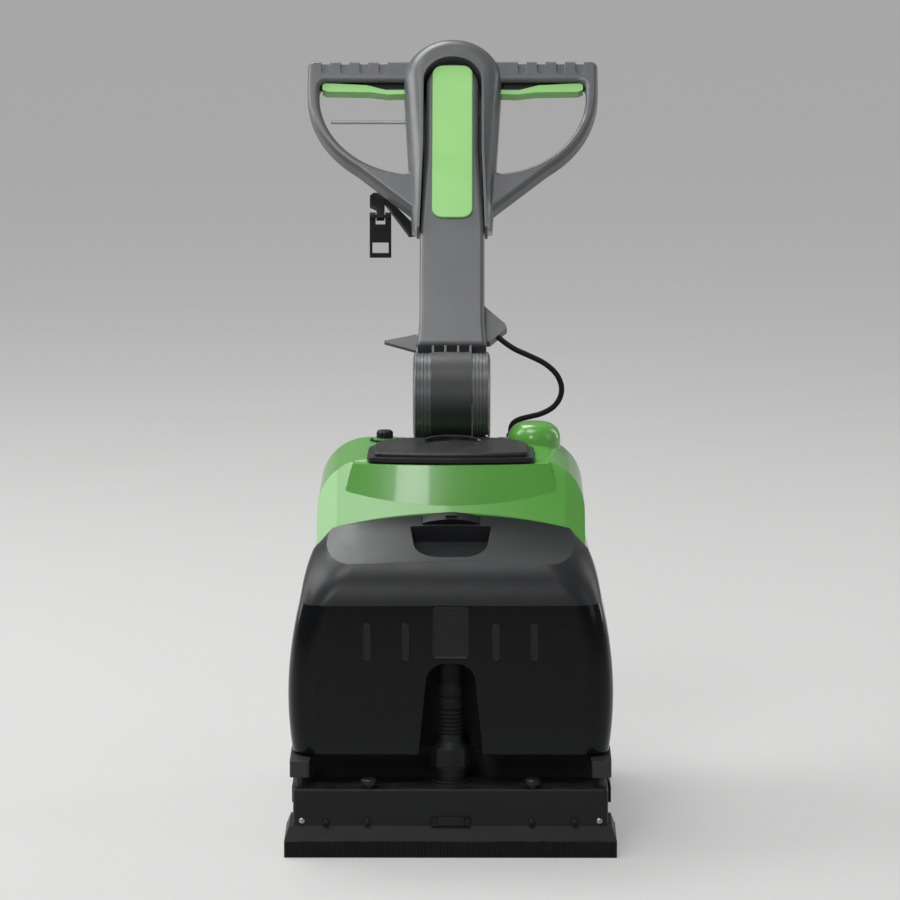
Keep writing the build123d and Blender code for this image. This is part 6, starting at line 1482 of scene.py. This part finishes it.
@dataclass
class Studio:
    """Pale floor, soft boxes and the camera at the photograph's angle."""

    floor_colour: str = "9c9c9b"
    floor_roughness: float = 0.6
    floor_glow: float = 0.29
    floor_size: float = 40.0
    sky_strength: float = 0.22
    lens: float = 231.6
    sensor_width: float = 36.0
    sight: float = 100.0
    target: Triple = (-0.0019, 0.0074, 0.3733)
    distance: float = 6.282
    azimuth: float = math.radians(0.23)
    elevation: float = math.radians(9)
    lamps: tuple[Lamp, ...] = (
        Lamp("strip_box", (-0.88, -3.8, 2.0), (0, -0.1, 0.5), (0.75, 1.3), 34.0),
        Lamp("key_box", (-2.8, 0.3, 2.8), (0, 0.1, 0.6), (2.0, 1.8), 62.0),
        Lamp("front_top_box", (-0.6, -1.0, 3.2), (0, 0, 0.4), (1.4, 1.2), 34.0),
        Lamp("back_top_box", (-0.8, 1.5, 2.9), (0, -0.1, 0.4), (1.6, 1.2), 44.0),
        Lamp("fill_box", (3.0, -1.2, 1.5), (0, 0, 0.4), (1.4, 2.0), 9.0),
        Lamp("left_rim", (-2.3, 1.4, 1.2), (0, 0, 0.45), (0.7, 2.0), 13.0),
        Lamp("right_rim", (2.3, 1.4, 1.2), (0, 0, 0.45), (0.5, 2.0), 12.0),
    )

    def build(self) -> None:
        """Set up the floor, the light and the camera."""
        self.floor()
        self.light()
        self.camera()

    def floor(self) -> None:
        """A plain pale floor that fills the view, evened out for what sees it directly."""
        shape = bmesh.new()
        bmesh.ops.create_grid(shape, x_segments=2, y_segments=2, size=self.floor_size)
        mesh = bpy.data.meshes.new("studio_floor")
        shape.to_mesh(mesh)
        shape.free()
        material = bpy.data.materials.new("studio_floor")
        material.use_nodes = True
        shader = material.node_tree.nodes["Principled BSDF"]
        shader.inputs["Base Color"].default_value = screen_colour(self.floor_colour)
        shader.inputs["Roughness"].default_value = self.floor_roughness
        shader.inputs["Emission Color"].default_value = WHITE
        sheet = NodeSheet(material.node_tree)
        rays = sheet.add("LightPath").outputs
        seen = sheet.maths("MAXIMUM", rays["Is Camera Ray"], rays["Is Glossy Ray"])
        seen = sheet.maths("MAXIMUM", seen, rays["Is Transmission Ray"])
        sheet.feed(shader.inputs["Emission Strength"], sheet.maths("MULTIPLY", seen, self.floor_glow))
        mesh.materials.append(material)
        floor = add_object("studio_floor", mesh)

    def light(self) -> None:
        """Soft boxes and a pale sky."""
        world = bpy.data.worlds.new("studio_sky")
        world.use_nodes = True
        sky = world.node_tree.nodes["Background"]
        sky.inputs["Color"].default_value = WHITE
        sky.inputs["Strength"].default_value = self.sky_strength
        bpy.context.scene.world = world
        for lamp in self.lamps:
            data = bpy.data.lights.new(lamp.name, "AREA")
            data.shape = "RECTANGLE"
            data.size, data.size_y = lamp.size
            data.energy = lamp.power
            holder = add_object(lamp.name, data)
            holder.location = lamp.place
            forward = Vector(lamp.aim) - Vector(lamp.place)
            holder.rotation_euler = forward.to_track_quat("-Z", "Y").to_euler()

    def camera(self) -> None:
        """A long lens in front of the machine, a little above it."""
        data = bpy.data.cameras.new("camera")
        data.lens = self.lens
        data.sensor_width = self.sensor_width
        data.clip_end = self.sight
        holder = add_object("camera", data)
        level = math.cos(self.elevation)
        aside = Vector((level * math.sin(self.azimuth), -level * math.cos(self.azimuth), 0.0))
        back = aside + Vector((0.0, 0.0, math.sin(self.elevation)))
        holder.location = Vector(self.target) + self.distance * back
        holder.rotation_euler = (-back).to_track_quat("-Z", "Y").to_euler()
        bpy.context.scene.camera = holder


def main() -> None:
    """Dress and complete every sub-assembly."""
    logging.basicConfig(level=logging.INFO, format="%(name)s: %(message)s")
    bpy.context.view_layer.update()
    bpy.context.scene.view_settings.view_transform = "Standard"
    Studio().build()
    assemblies = (
        Handle(),
        Squeegees(),
        BrushDeck(),
        RollingGear(),
        PowerUnit(),
        RecoveryTank(),
        SolutionTank(),
    )
    for assembly in assemblies:
        assembly.dress()
        for piece in assembly.build():
            LOG.info("%s: %s", type(assembly).__name__, piece.name)


if __name__ == "__main__":
    main()
